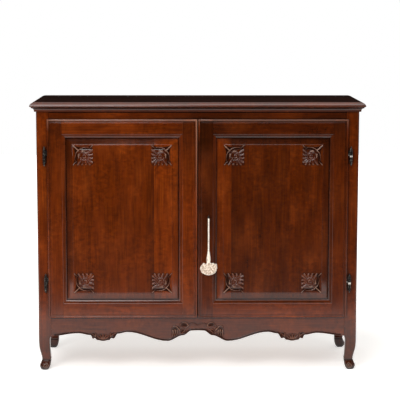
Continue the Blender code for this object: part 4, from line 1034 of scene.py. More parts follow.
# The wood darkens towards the floor, and the right posts' lower tone paints the light falling off from the
# left
LEG_TONE_LEVELS = (0.06, 0.10, 0.15, 0.22, 0.30, 0.42)
POST_TONES = {LEFT: 1.07, RIGHT: 0.80}
LEG_TONES = (0.60, 0.65, 0.70, 0.82, 0.93, 1.00, 1.06)
# Shades down a toe: height, share of darkening by old wax and painted shade, most of it painted shade in
# the crease above the toe
TOE_HEIGHTS = (0.000, 0.036, 0.041, 0.044, 0.052)
TOE_SHADES = (0.55, 0.45, 0.95, 0.60, 0.0)
# Curl of a toe: place across and height of its middle, first and last radius, turns
CURL_MIDDLE = (0.0270, 0.0185)
CURL_RADII = (0.0125, 0.0025)
CURL_TURNS = 1.6
CURL_STEPS = 44
# Points of the leg under this height and this near a curl's own are on the curl, which is painted pale,
# as rubbed wood and as a highlight
CURL_TOP = 0.045
CURL_NEAR = 0.0001
CURL_SHADE = -0.8


def corner_square(outer, inner, outer_round, other_round):
    """Points round a square section, given as distances in from the two outer faces."""
    corners = ((outer + outer_round, outer + outer_round, outer_round, 180),
               (inner - other_round, outer + other_round, other_round, 270),
               (inner - other_round, inner - other_round, other_round, 0),
               (outer + other_round, inner - other_round, other_round, 90))
    points = []
    for across, along, radius, start in corners:
        points += arc((across, along), radius, radius, start, start + 90, LEG_CORNER_STEPS)
    return points


def curl(name, levels, place, sizes):
    """A raised spiral on one outer face of a toe, following the face's swelling."""
    heights, outers, inners, rounds = zip(*reversed(levels))
    line = []
    for share in np.linspace(0.0, 1.0, CURL_STEPS):
        turn = math.pi / 2 + 2 * math.pi * CURL_TURNS * share
        radius = CURL_RADII[0] + (CURL_RADII[1] - CURL_RADII[0]) * share
        across = CURL_MIDDLE[0] - radius * math.cos(turn)
        height = CURL_MIDDLE[1] + radius * math.sin(turn)
        outer, inner, soft = (np.interp(height, heights, row) for row in (outers, inners, rounds))
        past = max(outer + soft - across, across - inner + soft, 0.0)
        depth = outer + soft - math.sqrt(max(soft ** 2 - past ** 2, 0.0))
        line.append(place(across, depth, height))
    return tube(name, line, sizes.curl_radius, sides=8)


class CREDENZA_OT_legs(Operator):
    """Make the four corner posts with their cabriole legs and scrolled toes"""

    bl_idname = "credenza.legs"
    bl_label = "Posts and legs"

    def execute(self, context):
        sizes = context.scene.credenza_sizes
        levels = [(POST_TOP, *LEG_LEVELS[0][1:])] + [tuple(level) for level in through(LEG_LEVELS, LEG_STEPS)]
        for row in ("front", "back"):
            for side in (LEFT, RIGHT):
                self.post(row, side, levels, sizes)
        return {"FINISHED"}

    def post(self, row, side, levels, sizes):
        """One post, drawn over its levels, with its toe."""
        def place(inward, depth, height):
            y = FRONT + depth if row == "front" else REAR - depth
            return (side * (POST_OUT - inward), y, height)

        def place_aside(inward, depth, height):
            return place(depth, inward, height)

        sections = []
        for height, out, into, turn in levels:
            square = corner_square(out, into, max(sizes.post_round, turn), turn)
            sections.append([place(inward, depth, height) for inward, depth in square])
        name = f"{row}_{SIDE_NAMES[side]}_post"
        front_curl = curl(name + "_front_curl", levels, place, sizes)
        side_curl = curl(name + "_side_curl", levels, place_aside, sizes)
        curls = [knot.co.copy() for knot in (*front_curl.vertices, *side_curl.vertices)]
        body = carved(name, skin(name, sections), "UNION", front_curl, side_curl)
        # Old wax and painted shade down the toe, and the painted highlight on its curls
        shares = np.interp(points_of(body)[:, 2], TOE_HEIGHTS, TOE_SHADES)
        for index, knot in enumerate(body.vertices):
            if knot.co.z < CURL_TOP and min((knot.co - spot).length for spot in curls) < CURL_NEAR:
                shares[index] = CURL_SHADE
        waxed(body, shares)
        tones = np.array(LEG_TONES) * POST_TONES[side]
        keep_walnut(name + "_carved", body, "waxed_walnut_z", stands_for=[name], tones=tones,
                    joints=LEG_TONE_LEVELS, across=2, step=0)


# Front rail and apron

# Scallops of the apron: share of its half length, height above the leg's top
SCALLOPS = ((0.000, 0.023), (0.042, 0.022), (0.100, 0.0015), (0.206, -0.023), (0.480, 0.016),
            (0.545, 0.009), (0.575, -0.012), (0.590, -0.010), (0.605, -0.0185), (0.646, -0.0225),
            (0.687, -0.0185), (0.702, -0.010), (0.716, -0.013), (0.731, 0.003), (0.815, 0.011),
            (1.000, -0.001))
SIDE_SCALLOPS = ((0.00, 0.012), (0.45, 0.045), (1.00, 0.002))
SCALLOP_STEPS = 9
# How far the bead's middle is sunk, the closest spacing of its points, and how near the edge they may come
BEAD_SUNK = 0.0015
BEAD_SPACING = 0.8
BEAD_CLEAR = 0.94
# Painted shade on the bead's lower side and a painted highlight on its upper side, by distance from the
# apron's edge
BEAD_LEVELS = (0.0076, 0.0086, 0.0096)
BEAD_SHADES = (0.95, 0.3, -0.8)
# The slide bolt's rod, and the mortise that it enters
SLIDE_RADIUS = 0.0035
MORTISE_HALF = 0.0053
MORTISE_DEPTH = 0.0220
# Strips under the doors' lips and under the cornice, painted dark as shadow
GRIMY_STRIP = 0.0045
# Darkening along the front rail: places across it and their shares
SMOKE_STATIONS = (-0.57, -0.31, -0.13, 0.0, 0.16, 0.37, 0.57)
SMOKE_SHADES = (0.35, 0.0, 0.38, 0.74, 0.78, 0.30, 0.70)
# Tones of the apron and of the front rail, on their faces and in their strips of painted shadow
APRON_TONES = (0.73, 0.21)
FRONT_RAIL_TONES = (1.08, 0.30)


def scalloped(stations, half, leg_top):
    """The lower edge of a rail, from end to end."""
    right = eased([(share * half, leg_top + rise) for share, rise in stations], SCALLOP_STEPS)
    return [(-x, z) for x, z in reversed(right[1:])] + right


def bead_line(edge, inset, spacing):
    """A line set in from an edge, without the places where a bead would fold on itself."""
    line = []
    knots = [Vector(point) for point in edge]
    for before, here, after in zip(knots, knots[1:], knots[2:]):
        run = (after - before).normalized()
        spot = here + Vector((-run.y, run.x)) * inset
        clear = min((spot - knot).length for knot in knots)
        if clear > inset * BEAD_CLEAR and (not line or (spot - line[-1]).length > spacing):
            line.append(spot)
    return line


class CREDENZA_OT_apron(Operator):
    """Make the scalloped apron with its bead, and the rail over the doors"""

    bl_idname = "credenza.apron"
    bl_label = "Apron and rail"

    def execute(self, context):
        sizes = context.scene.credenza_sizes
        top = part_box("front_apron")[1].z
        half = POST_OUT - sizes.post - SEAT
        edge = scalloped(SCALLOPS, half, sizes.leg_top)
        board = slab("apron", edge + [(half, top), (-half, top)], -FRONT - sizes.stock, -FRONT, UPRIGHT)
        low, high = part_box("left_bottom_slide_bolt")
        mouth = Vector(((low.x + high.x) / 2, low.y + SLIDE_RADIUS, top))
        wide = Vector((MORTISE_HALF, MORTISE_HALF, MORTISE_DEPTH))
        board = carved("apron", board, "DIFFERENCE", block("mortise", mouth - wide, mouth + wide))
        line = bead_line(edge, sizes.bead_inset, sizes.bead_radius * BEAD_SPACING)
        line = [(x, FRONT + BEAD_SUNK, z) for x, z in line]
        bead = tube("bead", line, sizes.bead_radius, sides=14)
        rim = np.array(edge)
        away = [np.hypot(*(rim - knot).T).min() for knot in points_of(bead)[:, [0, 2]]]
        waxed(bead, np.interp(away, BEAD_LEVELS, BEAD_SHADES))
        # The apron's top strip, under the doors' lips, is painted dark as shadow
        keep_walnut("front_apron_scalloped", joined("apron", [board, bead]), "waxed_walnut_x",
                    stands_for=["front_apron"], tones=APRON_TONES, joints=[DOOR_LOW.z - GRIMY_STRIP],
                    across=2, step=0)
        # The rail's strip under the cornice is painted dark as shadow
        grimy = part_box("cornice_front")[0].z - GRIMY_STRIP
        rail = softened("front_top_rail", sizes.arris)
        glued(rail, SMOKE_STATIONS, 0)
        waxed(rail, np.interp(points_of(rail)[:, 0], SMOKE_STATIONS, SMOKE_SHADES))
        keep_walnut("front_top_rail_planed", rail, "waxed_walnut_x", stands_for=["front_top_rail"],
                    tones=FRONT_RAIL_TONES, joints=[grimy], across=2, step=0)
        return {"FINISHED"}


# Fielded panels

PANEL_SETBACK = 0.0020
SIDE_GROOVE = 0.0100
# Room for a panel's tongue at the bottom of its groove, run of the step at its field, and the field's rim
PANEL_PLAY = 0.0008
STEP_RUN = 0.0015
FIELD_RIM = 0.0030


def panel_levels(groove_front, sizes):
    """Tongue, bevel, step and field of a panel, as inset from its edge and depth from the face."""
    tongue = sizes.groove_depth - PANEL_PLAY
    front = groove_front + SEAT
    bevel_top = front - sizes.bevel_rise
    field = bevel_top - sizes.field_step
    inner = tongue + sizes.bevel_width
    levels = [(0.0, groove_front + sizes.groove_width - SEAT), (0.0, front), (tongue, front),
              (inner, bevel_top), (inner + STEP_RUN, field), (inner + STEP_RUN + FIELD_RIM, field)]
    return rounded(levels, sizes.arris, closed=False)


def fielded(name, across, upright, levels, place):
    """A raised panel: rectangles at each level of inset and depth, drawn into one body."""
    sections = []
    for inset, depth in levels:
        left, right = across[0] + inset, across[1] - inset
        low, high = upright[0] + inset, upright[1] - inset
        corners = ((left, low), (right, low), (right, high), (left, high))
        sections.append([place(a, b, depth) for a, b in corners])
    return skin(name, sections)


class CREDENZA_OT_sides(Operator):
    """Make the side rails and the fielded side panels"""

    bl_idname = "credenza.sides"
    bl_label = "Sides"

    def execute(self, context):
        sizes = context.scene.credenza_sizes
        for side in (LEFT, RIGHT):
            self.side(side, SIDE_NAMES[side], sizes)
        return {"FINISHED"}

    def side(self, side, word, sizes):
        """Rails and panel of one side."""
        rear, face = sorted(abs(corner.x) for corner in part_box(word + "_side_top_rail"))
        front, back = FRONT + sizes.post + SEAT, REAR - sizes.post - SEAT
        middle, half = (front + back) / 2, (back - front) / 2
        low_rail_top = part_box(word + "_side_bottom_rail")[1].z
        edge = [(y + middle, z) for y, z in scalloped(SIDE_SCALLOPS, half, sizes.leg_top)]
        outline = edge + [(back, low_rail_top), (front, low_rail_top)]
        stem = word + "_side_bottom_rail"
        rail = slab(stem, outline, *sorted((side * face, side * rear)), EDGEWISE)
        keep_walnut(stem + "_scalloped", rail, "waxed_walnut_y", stands_for=[stem])
        stem = word + "_side_top_rail"
        keep_walnut(stem + "_planed", softened(stem, sizes.arris), "waxed_walnut_y", stands_for=[stem])

        stem = word + "_side_panel"
        low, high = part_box(stem)

        def place(y, z, depth):
            return (side * (face - depth), y, z)

        levels = panel_levels(SIDE_GROOVE, sizes)
        panel = fielded(stem, (low.y, high.y), (low.z, high.z), levels, place)
        keep_walnut(stem + "_fielded", panel, "waxed_walnut_z", stands_for=[stem])


# Doors

def door_place(side, inward, up, depth):
    """A point on a door: inward from its hinge edge, up from its foot, back from its face."""
    return (side * (DOOR_HIGH.x - inward), DOOR_FACE + depth, DOOR_LOW.z + up)


# The lip's depth and the rebate behind it, which is slight at the meeting edge
LIP_BACK = 0.0095
REBATE = 0.0095
MEETING_REBATE = 0.0004
FRAME_EASING = 0.7
# What a cutter stands past the wood
MARGIN = 0.005
# The keyhole's round, and the half width and length of its slot
KEYHOLE_RADIUS = 0.00335
SLOT_HALF = 0.0025
SLOT_DROP = 0.0135


def frame_profile(sizes):
    """Section of a door frame: distance in from the outer edge, the same at the meeting edge, depth."""
    thick = DOOR_BACK - DOOR_FACE
    face = sizes.frame_width - sizes.inner_mould
    bead = arc((sizes.lip_bead, sizes.lip_bead), sizes.lip_bead, sizes.lip_bead, 180, 350, steps=12)
    quirk = [(2 * sizes.lip_bead, sizes.quirk), (sizes.outer_mould - sizes.quirk, sizes.quirk),
             (sizes.outer_mould, 0.0)]
    ovolo = arc((face + sizes.mould_quirk, sizes.mould_depth), sizes.inner_mould - sizes.mould_quirk,
                sizes.mould_quirk - sizes.mould_depth, 90, 0, steps=10)
    front, bottom = sizes.mould_depth + PANEL_SETBACK, sizes.frame_width - sizes.groove_depth
    groove = [(sizes.frame_width, front), (bottom, front), (bottom, front + sizes.groove_width),
              (sizes.frame_width, front + sizes.groove_width)]
    outline = [(d, d, depth) for d, depth in bead + quirk + [(face, 0.0)] + ovolo + groove]
    outline += [(sizes.frame_width, sizes.frame_width, thick), (REBATE, MEETING_REBATE, thick),
                (REBATE, MEETING_REBATE, LIP_BACK), (0.0, 0.0, LIP_BACK)]
    return rounded(outline, sizes.arris * FRAME_EASING)


# The right door's lower tones paint the light falling off from the left. Tones of the hinge and meeting
# stiles, and of the bottom and top rails
STILE_TONES = {LEFT: (1.16, 1.40), RIGHT: (0.82, 0.76)}
RAIL_TONES = {LEFT: (1.06, 1.05), RIGHT: (1.06, 0.50)}
# Each panel is glued up of two or three boards: their joints and tones, the right door's lower
# also as painted light falling off from the left
PANEL_BOARDS = {LEFT: ([-0.183], [1.06, 1.40]), RIGHT: ([0.141, 0.386], [1.02, 0.66, 0.76])}
# A stain beside a panel's first joint: cuts beside the joint and up the panel that carry it, its share,
# and its width low and high on the panel
STAIN_CUTS = (0.0, 0.0005, 0.006, 0.014, 0.024, 0.036, 0.050)
STAIN_HEIGHTS = (0.40, 0.55, 0.70, 0.85)
STAIN = 0.5
STAIN_WIDTHS = (0.050, 0.022)
# Old wax and painted shadow beside the groove: its width, and its shares at the groove, at that width and at
# the field
GROOVE_GRIME = 0.006
BEVEL_SHADES = (0.85, 0.42, 0.15)
# What a panel's left and top bevels have more or less of: the left door's left bevel is darker like its
# boards, the right door's paler as a painted highlight from the light on the left, and the top bevels darker
# as painted shade under the rail's moulding, with their own darker tone; and old wax with painted shade on
# the frame's inner moulding
LEFT_BEVEL = {LEFT: 0.25, RIGHT: -0.60}
TOP_BEVEL = 0.35
MOULD_SHADES = (0.30, 0.65)
# Darkening on the stiles by shares of the door's height, most of it by the keyhole and at the upper ends
STILE_LEVELS = (0.0, 0.25, 0.55, 0.75, 0.88, 1.0)
STILE_SHADES = {
    (LEFT, "hinge_stile"): (0.30, 0.0, 0.15, 0.32, 0.45, 0.60),
    (LEFT, "meeting_stile"): (0.55, 0.15, 0.05, 0.35, 0.65, 0.84),
    (RIGHT, "hinge_stile"): (0.0, 0.0, 0.30, 0.20, 0.40, 0.80),
    (RIGHT, "meeting_stile"): (0.10, 0.0, 0.62, 0.38, 0.86, 0.86),
}
# The doors' top rails are darker towards the meeting edge: where it starts and its share
TOP_RAIL_GRIME = 0.165
TOP_RAIL_SHADE = 0.60
# Painted highlights on the lips: along the doors' tops, and from foot to top of the left door's meeting edge,
# which goes from painted shade at its foot to a painted highlight at its top
TOP_LIP_SHADES = {LEFT: -0.60, RIGHT: -0.45}
MEETING_LIP_SHADES = (0.45, -0.90)


class CREDENZA_OT_doors(Operator):
    """Make the moulded door frames and their fielded panels"""

    bl_idname = "credenza.doors"
    bl_label = "Doors"

    def execute(self, context):
        sizes = context.scene.credenza_sizes
        for side in (LEFT, RIGHT):
            self.door(side, SIDE_NAMES[side] + "_door", sizes)
        return {"FINISHED"}

    def door(self, side, word, sizes):
        """Stiles and rails cut from one mitred ring, and the panel that they hold."""
        corners = []
        for hinge_end, top_end in ((True, False), (True, True), (False, True), (False, False)):
            section = []
            for inset, meeting_inset, depth in frame_profile(sizes):
                inward = inset if hinge_end else DOOR_WIDTH - meeting_inset
                section.append(door_place(side, inward, DOOR_HEIGHT - inset if top_end else inset, depth))
            corners.append(section)

        face = sizes.frame_width - sizes.inner_mould
        sight = sizes.frame_width + MARGIN
        gap = SEAT * math.sqrt(2)
        half_stile = [(-MARGIN, -MARGIN), (face, -MARGIN), (face, face), (sight, sight)]
        half_rail = [(face + gap, -MARGIN), (face + gap, face), (sight + gap, sight)]
        stile = half_stile + [(u, DOOR_HEIGHT - v) for u, v in reversed(half_stile)]
        rail = half_rail + [(DOOR_WIDTH - u, v) for u, v in reversed(half_rail)]
        mirrored_stile = [(DOOR_WIDTH - u, v) for u, v in stile]
        regions = {
            "hinge_stile": (stile, "waxed_walnut_z", STILE_TONES[side][0]),
            "meeting_stile": (mirrored_stile, "waxed_walnut_z", STILE_TONES[side][1]),
            "bottom_rail": (rail, "waxed_walnut_x", RAIL_TONES[side][0]),
            "top_rail": ([(u, DOOR_HEIGHT - v) for u, v in rail], "waxed_walnut_x", RAIL_TONES[side][1]),
        }
        for part, (outline, finish, tone) in regions.items():
            name = f"{word}_{part}"
            flat = [(side * (DOOR_HIGH.x - u), DOOR_LOW.z + v) for u, v in outline]
            cutter = slab(name + "_region", flat, -DOOR_BACK - MARGIN, -DOOR_FACE + MARGIN, UPRIGHT)
            made = carved(name, skin(name, corners, ring=True), "INTERSECT", cutter)
            if name == "right_door_meeting_stile":
                made = carved(name, made, "DIFFERENCE", *self.keyhole())
            if part == "top_rail":
                glued(made, [side * TOP_RAIL_GRIME], 0)
            if part.endswith("stile"):
                glued(made, [DOOR_LOW.z + level * DOOR_HEIGHT for level in STILE_LEVELS[1:-1]], 2)
            waxed(made, self.frame_shares(made, side, part, sizes))
            keep_walnut(name + "_moulded", made, finish, stands_for=[name], tones=[tone])

        levels = panel_levels(sizes.mould_depth + PANEL_SETBACK, sizes)
        edge = sizes.frame_width - sizes.groove_depth + PANEL_PLAY
        across, upright = (edge, DOOR_WIDTH - edge), (edge, DOOR_HEIGHT - edge)
        panel = fielded(word, across, upright, levels, partial(door_place, side))
        joints, tones = PANEL_BOARDS[side]
        glued(panel, [joints[0] + side * beside for beside in STAIN_CUTS], 0)
        glued(panel, STAIN_HEIGHTS, 2)
        rim = edge + sizes.groove_depth + GROOVE_GRIME
        glued(panel, [side * (DOOR_HIGH.x - inward) for inward in (rim, DOOR_WIDTH - rim)], 0)
        glued(panel, [DOOR_LOW.z + up for up in (rim, DOOR_HEIGHT - rim)], 2)
        self.soil(panel, side, joints[0], sizes)
        keep_walnut(word + "_panel_fielded", panel, "waxed_walnut_z", stands_for=[word + "_panel"],
                    joints=joints, tones=tones)

    def frame_shares(self, frame, side, part, sizes):
        """Darkening on the stiles and top rail, old wax and painted shade on the moulding, painted light on
        the lips.
        """
        x, y, z = points_of(frame).T
        shares = np.zeros(len(z))
        if part.endswith("stile"):
            shares = np.interp((z - DOOR_LOW.z) / DOOR_HEIGHT, STILE_LEVELS, STILE_SHADES[side, part])
        elif part == "top_rail":
            shares = np.interp(side * x, (0.0, TOP_RAIL_GRIME), (TOP_RAIL_SHADE, 0.0))
        inward = np.minimum(side * x - DOOR_GAP, DOOR_HIGH.x - side * x)
        inset = np.minimum(inward, np.minimum(z - DOOR_LOW.z, DOOR_HIGH.z - z))
        mould = sizes.frame_width - sizes.inner_mould + sizes.mould_quirk
        in_front = y < DOOR_FACE + sizes.mould_depth + PANEL_SETBACK
        moulded = (inset > mould - sizes.mould_quirk / 2) & in_front
        shares[moulded] = np.interp(inset[moulded], (mould, sizes.frame_width), MOULD_SHADES)
        proud = y < DOOR_FACE + sizes.lip_bead
        shares[proud & (z > DOOR_HIGH.z - 2 * sizes.lip_bead)] = TOP_LIP_SHADES[side]
        if side == LEFT:
            handled = proud & (x > -2 * sizes.lip_bead)
            shares[handled] = np.interp(z[handled], (DOOR_LOW.z, DOOR_HIGH.z), MEETING_LIP_SHADES)
        return shares

    def soil(self, panel, side, joint, sizes):
        """Old wax, painted shade and painted highlight along a panel's bevel, and a stain that ends at the
        glued joint.
        """
        knots = points_of(panel)
        low, high = knots.min(axis=0), knots.max(axis=0)
        inset = np.minimum(knots - low, high - knots)[:, [0, 2]].min(axis=1)
        sight, field = sizes.groove_depth, sizes.groove_depth + sizes.bevel_width
        bevel = np.interp(inset, (sight, sight + GROOVE_GRIME, field), BEVEL_SHADES)
        at_left = (knots[:, 0] - low[0] <= inset) & (inset < field - sizes.arris)
        at_top = (high[2] - knots[:, 2] <= inset) & (inset < field - sizes.arris)
        more = np.where(at_left, LEFT_BEVEL[side], 0.0) + np.where(at_top, TOP_BEVEL, 0.0)
        bevel = np.clip(bevel + more, 0.0, BEVEL_SHADES[0])
        beside = side * (knots[:, 0] - joint)
        wide = np.interp(knots[:, 2], (low[2], high[2]), STAIN_WIDTHS)
        stain = np.where(beside > STAIN_CUTS[1] / 2, STAIN * np.clip(1 - beside / wide, 0.0, 1.0), 0.0)
        waxed(panel, np.maximum(bevel, stain))

    def keyhole(self):
        """A round hole with a slot under it, through the stile."""
        deep = DOOR_BACK - DOOR_FACE + 2 * MARGIN
        hole = lathe("hole", [(0.0, 0.0), (KEYHOLE_RADIUS, 0.0), (KEYHOLE_RADIUS, deep), (0.0, deep)],
                     pointing_back(KEY_AT.x, DOOR_FACE - MARGIN, KEY_AT.z))
        slot = block("slot", (KEY_AT.x - SLOT_HALF, DOOR_FACE - MARGIN, KEY_AT.z - SLOT_DROP),
                     (KEY_AT.x + SLOT_HALF, DOOR_BACK + MARGIN, KEY_AT.z))
        return hole, slot


# Carving

# Share of a rib's width and height that is gone at its end, and depth of the carving's back in the wood
RIB_TAPER = 0.45
STALK_TAPER = 0.2
RIB_FALL = 0.6
RELIEF_SUNK = 0.0005


def rib(u, v, line, half_width, height, taper=RIB_TAPER):
    """Heights of a rounded rib along a line, thinner and lower towards its end."""
    best = np.zeros_like(u)
    knots = [np.array(point) for point in line]
    for index, (one, other) in enumerate(zip(knots, knots[1:])):
        run = other - one
        share = np.clip(((u - one[0]) * run[0] + (v - one[1]) * run[1]) / (run @ run), 0.0, 1.0)
        away = np.hypot(u - one[0] - share * run[0], v - one[1] - share * run[1])
        along = (index + share) / (len(knots) - 1)
        width = half_width * (1 - taper * along)
        crown = np.sqrt(np.clip(1 - (away / width) ** 2, 0.0, 1.0))
        best = np.maximum(best, height * (1 - taper * along * RIB_FALL) * crown)
    return best


def relief(name, heights, us, vs, place, levels):
    """A carved body over a grid of heights: its bare cells are left out and its back is closed."""
    bm = bmesh.new()
    hollow = bm.verts.layers.float.new("hollow")
    knots = {}

    def knot(row, column):
        """The point at a row and column, made the first time that it is asked for."""
        if (row, column) not in knots:
            height = heights[row, column]
            made = bm.verts.new(place(us[column], vs[row], height if height > 0 else -RELIEF_SUNK))
            # Old wax and painted shade low down, and wear and painted highlights on the crests, by height
            made[hollow] = float(np.interp(height / MM, levels, CARVING_SHADES))
            knots[row, column] = made
        return knots[row, column]

    for row in range(len(vs) - 1):
        for column in range(len(us) - 1):
            if heights[row:row + 2, column:column + 2].max() > 0:
                bm.faces.new((knot(row, column), knot(row, column + 1),
                              knot(row + 1, column + 1), knot(row + 1, column)))
    front = list(bm.faces)
    back = bmesh.ops.extrude_face_region(bm, geom=front, use_keep_orig=True)
    floor = Vector(place(0.0, 0.0, -2 * RELIEF_SUNK)).y
    for item in back["geom"]:
        if isinstance(item, bmesh.types.BMVert):
            item.co.y = floor
    return to_mesh(name, bm)


# Lines of a carved corner in millimetres, from the field's corner inwards: points, half width, height
CORNER_STALK = (((0.5, 0.5), (12.0, 11.5), (25.0, 23.5)), 3.8, 6.2)
CORNER_RIBS = (
    (((24.0, 22.0), (33.0, 14.5), (46.0, 10.5), (60.0, 9.5), (69.0, 13.0)), 2.8, 5.4),
    (((83.0, 1.5), (76.0, 8.0), (70.0, 15.0)), 3.0, 5.4),
    (((40.0, 25.5), (46.0, 25.0), (53.0, 26.0)), 4.4, 7.2),
    (((83.0, 20.0), (72.0, 27.0), (62.0, 34.0)), 5.4, 4.7),
    (((83.0, 38.0), (75.0, 41.5), (66.0, 42.0)), 5.4, 4.7),
    (((83.0, 54.5), (76.0, 55.5), (67.0, 51.5)), 5.4, 4.7),
    (((83.0, 71.5), (74.0, 67.5), (65.0, 60.0)), 5.4, 4.7),
    (((53.0, 34.0), (58.6, 37.4), (62.0, 43.0), (63.0, 49.3), (61.0, 55.5), (57.6, 59.5)), 2.8, 4.6),
    (((52.6, 52.6), (54.5, 48.0), (52.6, 43.4), (48.0, 41.5), (43.4, 43.4)), 2.9, 5.0),
    (((30.0, 36.0), (33.0, 50.0), (30.0, 64.0)), 3.0, 4.2),
)
# How far the four sides of a corner's ground curve in, and the ground's height
CORNER_WAIST = 9.0
GROUND = 0.6
# The carving's edge comes this far past the step at the field's rim
CORNER_INSET = 0.0012
# Tones of the carved corners, the right door's lower as painted light falling off from the left
CARVED_TONES = {LEFT: 0.85, RIGHT: 0.62}
# A low cushion under the rosette: its middle, reach and height
CUSHION = (55.0, 38.0, 2.3)
# Levels of carving in millimetres, and their shades from dark hollows, 1, of old wax and painted shade, to
# pale crests, -1, rubbed and with painted highlights
CORNER_LEVELS = (0.6, 2.3, 3.6, 5.2)
APRON_LEVELS = (0.6, 1.6, 2.6, 4.2)
CARVING_SHADES = (0.9, 0.25, 0.0, -1.0)
# Lines of the apron's carving in millimetres, from the middle outwards and from the floor up
APRON_RIBS = (
    (((40.0, 193.0), (46.0, 204.0), (58.0, 208.0), (70.0, 204.0), (75.0, 196.0)), 3.0, 4.2),
    (((42.0, 189.0), (52.0, 187.0), (63.0, 190.0), (73.0, 195.0)), 2.6, 3.6),
    (((75.0, 196.0), (79.0, 188.0), (77.0, 178.0)), 2.6, 3.6),
    (((76.0, 174.0), (82.0, 181.0), (89.0, 189.0), (98.0, 193.0), (107.0, 189.0), (109.0, 181.0)), 3.0, 4.6),
    (((88.0, 174.0), (87.0, 162.0), (92.0, 150.0)), 3.2, 4.4),
    (((96.0, 176.0), (95.0, 164.0), (99.0, 149.0)), 3.4, 4.8),
    (((105.0, 174.0), (104.0, 163.0), (107.0, 146.0)), 3.4, 4.6),
    (((55.0, 172.0), (61.0, 168.0), (68.0, 160.0)), 3.0, 4.0),
    (((52.0, 179.0), (62.0, 178.0), (71.0, 169.0)), 2.8, 3.8),
    (((4.0, 196.0), (14.0, 203.0), (26.0, 205.0), (36.0, 200.0)), 2.6, 2.6),
)
# Dished grounds: middle, reach across and up
APRON_DISHES = (((96.0, 168.0), (17.0, 27.0)), ((58.0, 197.0), (18.0, 11.0)), ((62.0, 170.0), (12.0, 11.0)))
LOBE_DISHES = (((40.0, 157.0), (14.0, 9.0)), ((0.0, 147.0), (26.0, 12.0)))
DISH_RIM = 1.2
LOBE_RIBS = (
    (((0.0, 137.0), (0.0, 148.0), (0.0, 158.0)), 4.4, 3.8),
    (((5.0, 137.0), (9.0, 147.0), (14.0, 156.0)), 4.2, 3.8),
    (((12.0, 138.0), (19.0, 145.0), (26.0, 153.0)), 3.8, 3.6),
    (((33.0, 148.0), (31.0, 156.0), (36.0, 163.0), (44.0, 163.0)), 3.0, 3.8),
    (((30.0, 146.0), (38.0, 153.0), (48.0, 158.0), (60.0, 161.0)), 2.8, 3.6),
)
PITCH_SLACK = 0.01
# Fields of the apron's carving: ribs, dishes, middle, reach to each side, lowest and highest point
LOBE_AT = 402.0
APRON_FIELDS = (
    (APRON_RIBS, APRON_DISHES, 0.0, 116.0, 138.0, 214.0),
    (LOBE_RIBS, LOBE_DISHES, -LOBE_AT, 66.0, 132.0, 170.0),
    (LOBE_RIBS, LOBE_DISHES, LOBE_AT, 66.0, 132.0, 170.0),
)


def carving_points(start, end, sizes):
    """Points from one place up to another, in millimetres, at the carving's pitch."""
    return np.arange(start, end + PITCH_SLACK, sizes.carving_pitch / MM)


def swept(line, steps=5):
    """A smooth line through a rib's points."""
    return [tuple(point) for point in through(line, steps)]


def corner_heights(u, v):
    """Heights of a carved corner: stalk, scrolls, beads and a lobed rosette, alike across its diagonal."""
    size = u.max()
    across, upright = 2 * u / size - 1, 2 * v / size - 1
    inside = (size / 2 * (1 - abs(upright)) > CORNER_WAIST * (1 - across ** 2))
    inside &= (size / 2 * (1 - abs(across)) > CORNER_WAIST * (1 - upright ** 2))
    heights = np.where(inside, GROUND, 0.0)
    middle, reach, rise = CUSHION
    dome = 1 - ((u - middle) / reach) ** 8 - ((v - middle) / reach) ** 8
    heights = np.maximum(heights, np.where(inside, rise * np.sqrt(np.clip(dome, 0.0, 1.0)), 0.0))
    line, half_width, height = CORNER_STALK
    heights = np.maximum(heights, rib(u, v, swept(line), half_width, height, STALK_TAPER))
    for line, half_width, height in CORNER_RIBS:
        drawn = swept(line)
        heights = np.maximum(heights, rib(u, v, drawn, half_width, height))
        heights = np.maximum(heights, rib(v, u, drawn, half_width, height))
    return heights * MM


def mirrored_heights(u, v, ribs, dishes):
    """Heights of dished grounds and of the ribs on them, alike to the left and the right."""
    u = abs(u)
    heights = np.zeros_like(u)
    for (across, upright), (wide, tall) in dishes:
        reach = ((u - across) / wide) ** 2 + ((v - upright) / tall) ** 2
        heights = np.maximum(heights, np.where(reach < 1, GROUND + DISH_RIM * reach ** 2, 0.0))
    for line, half_width, height in ribs:
        heights = np.maximum(heights, rib(u, v, swept(line), half_width, height))
    return heights * MM


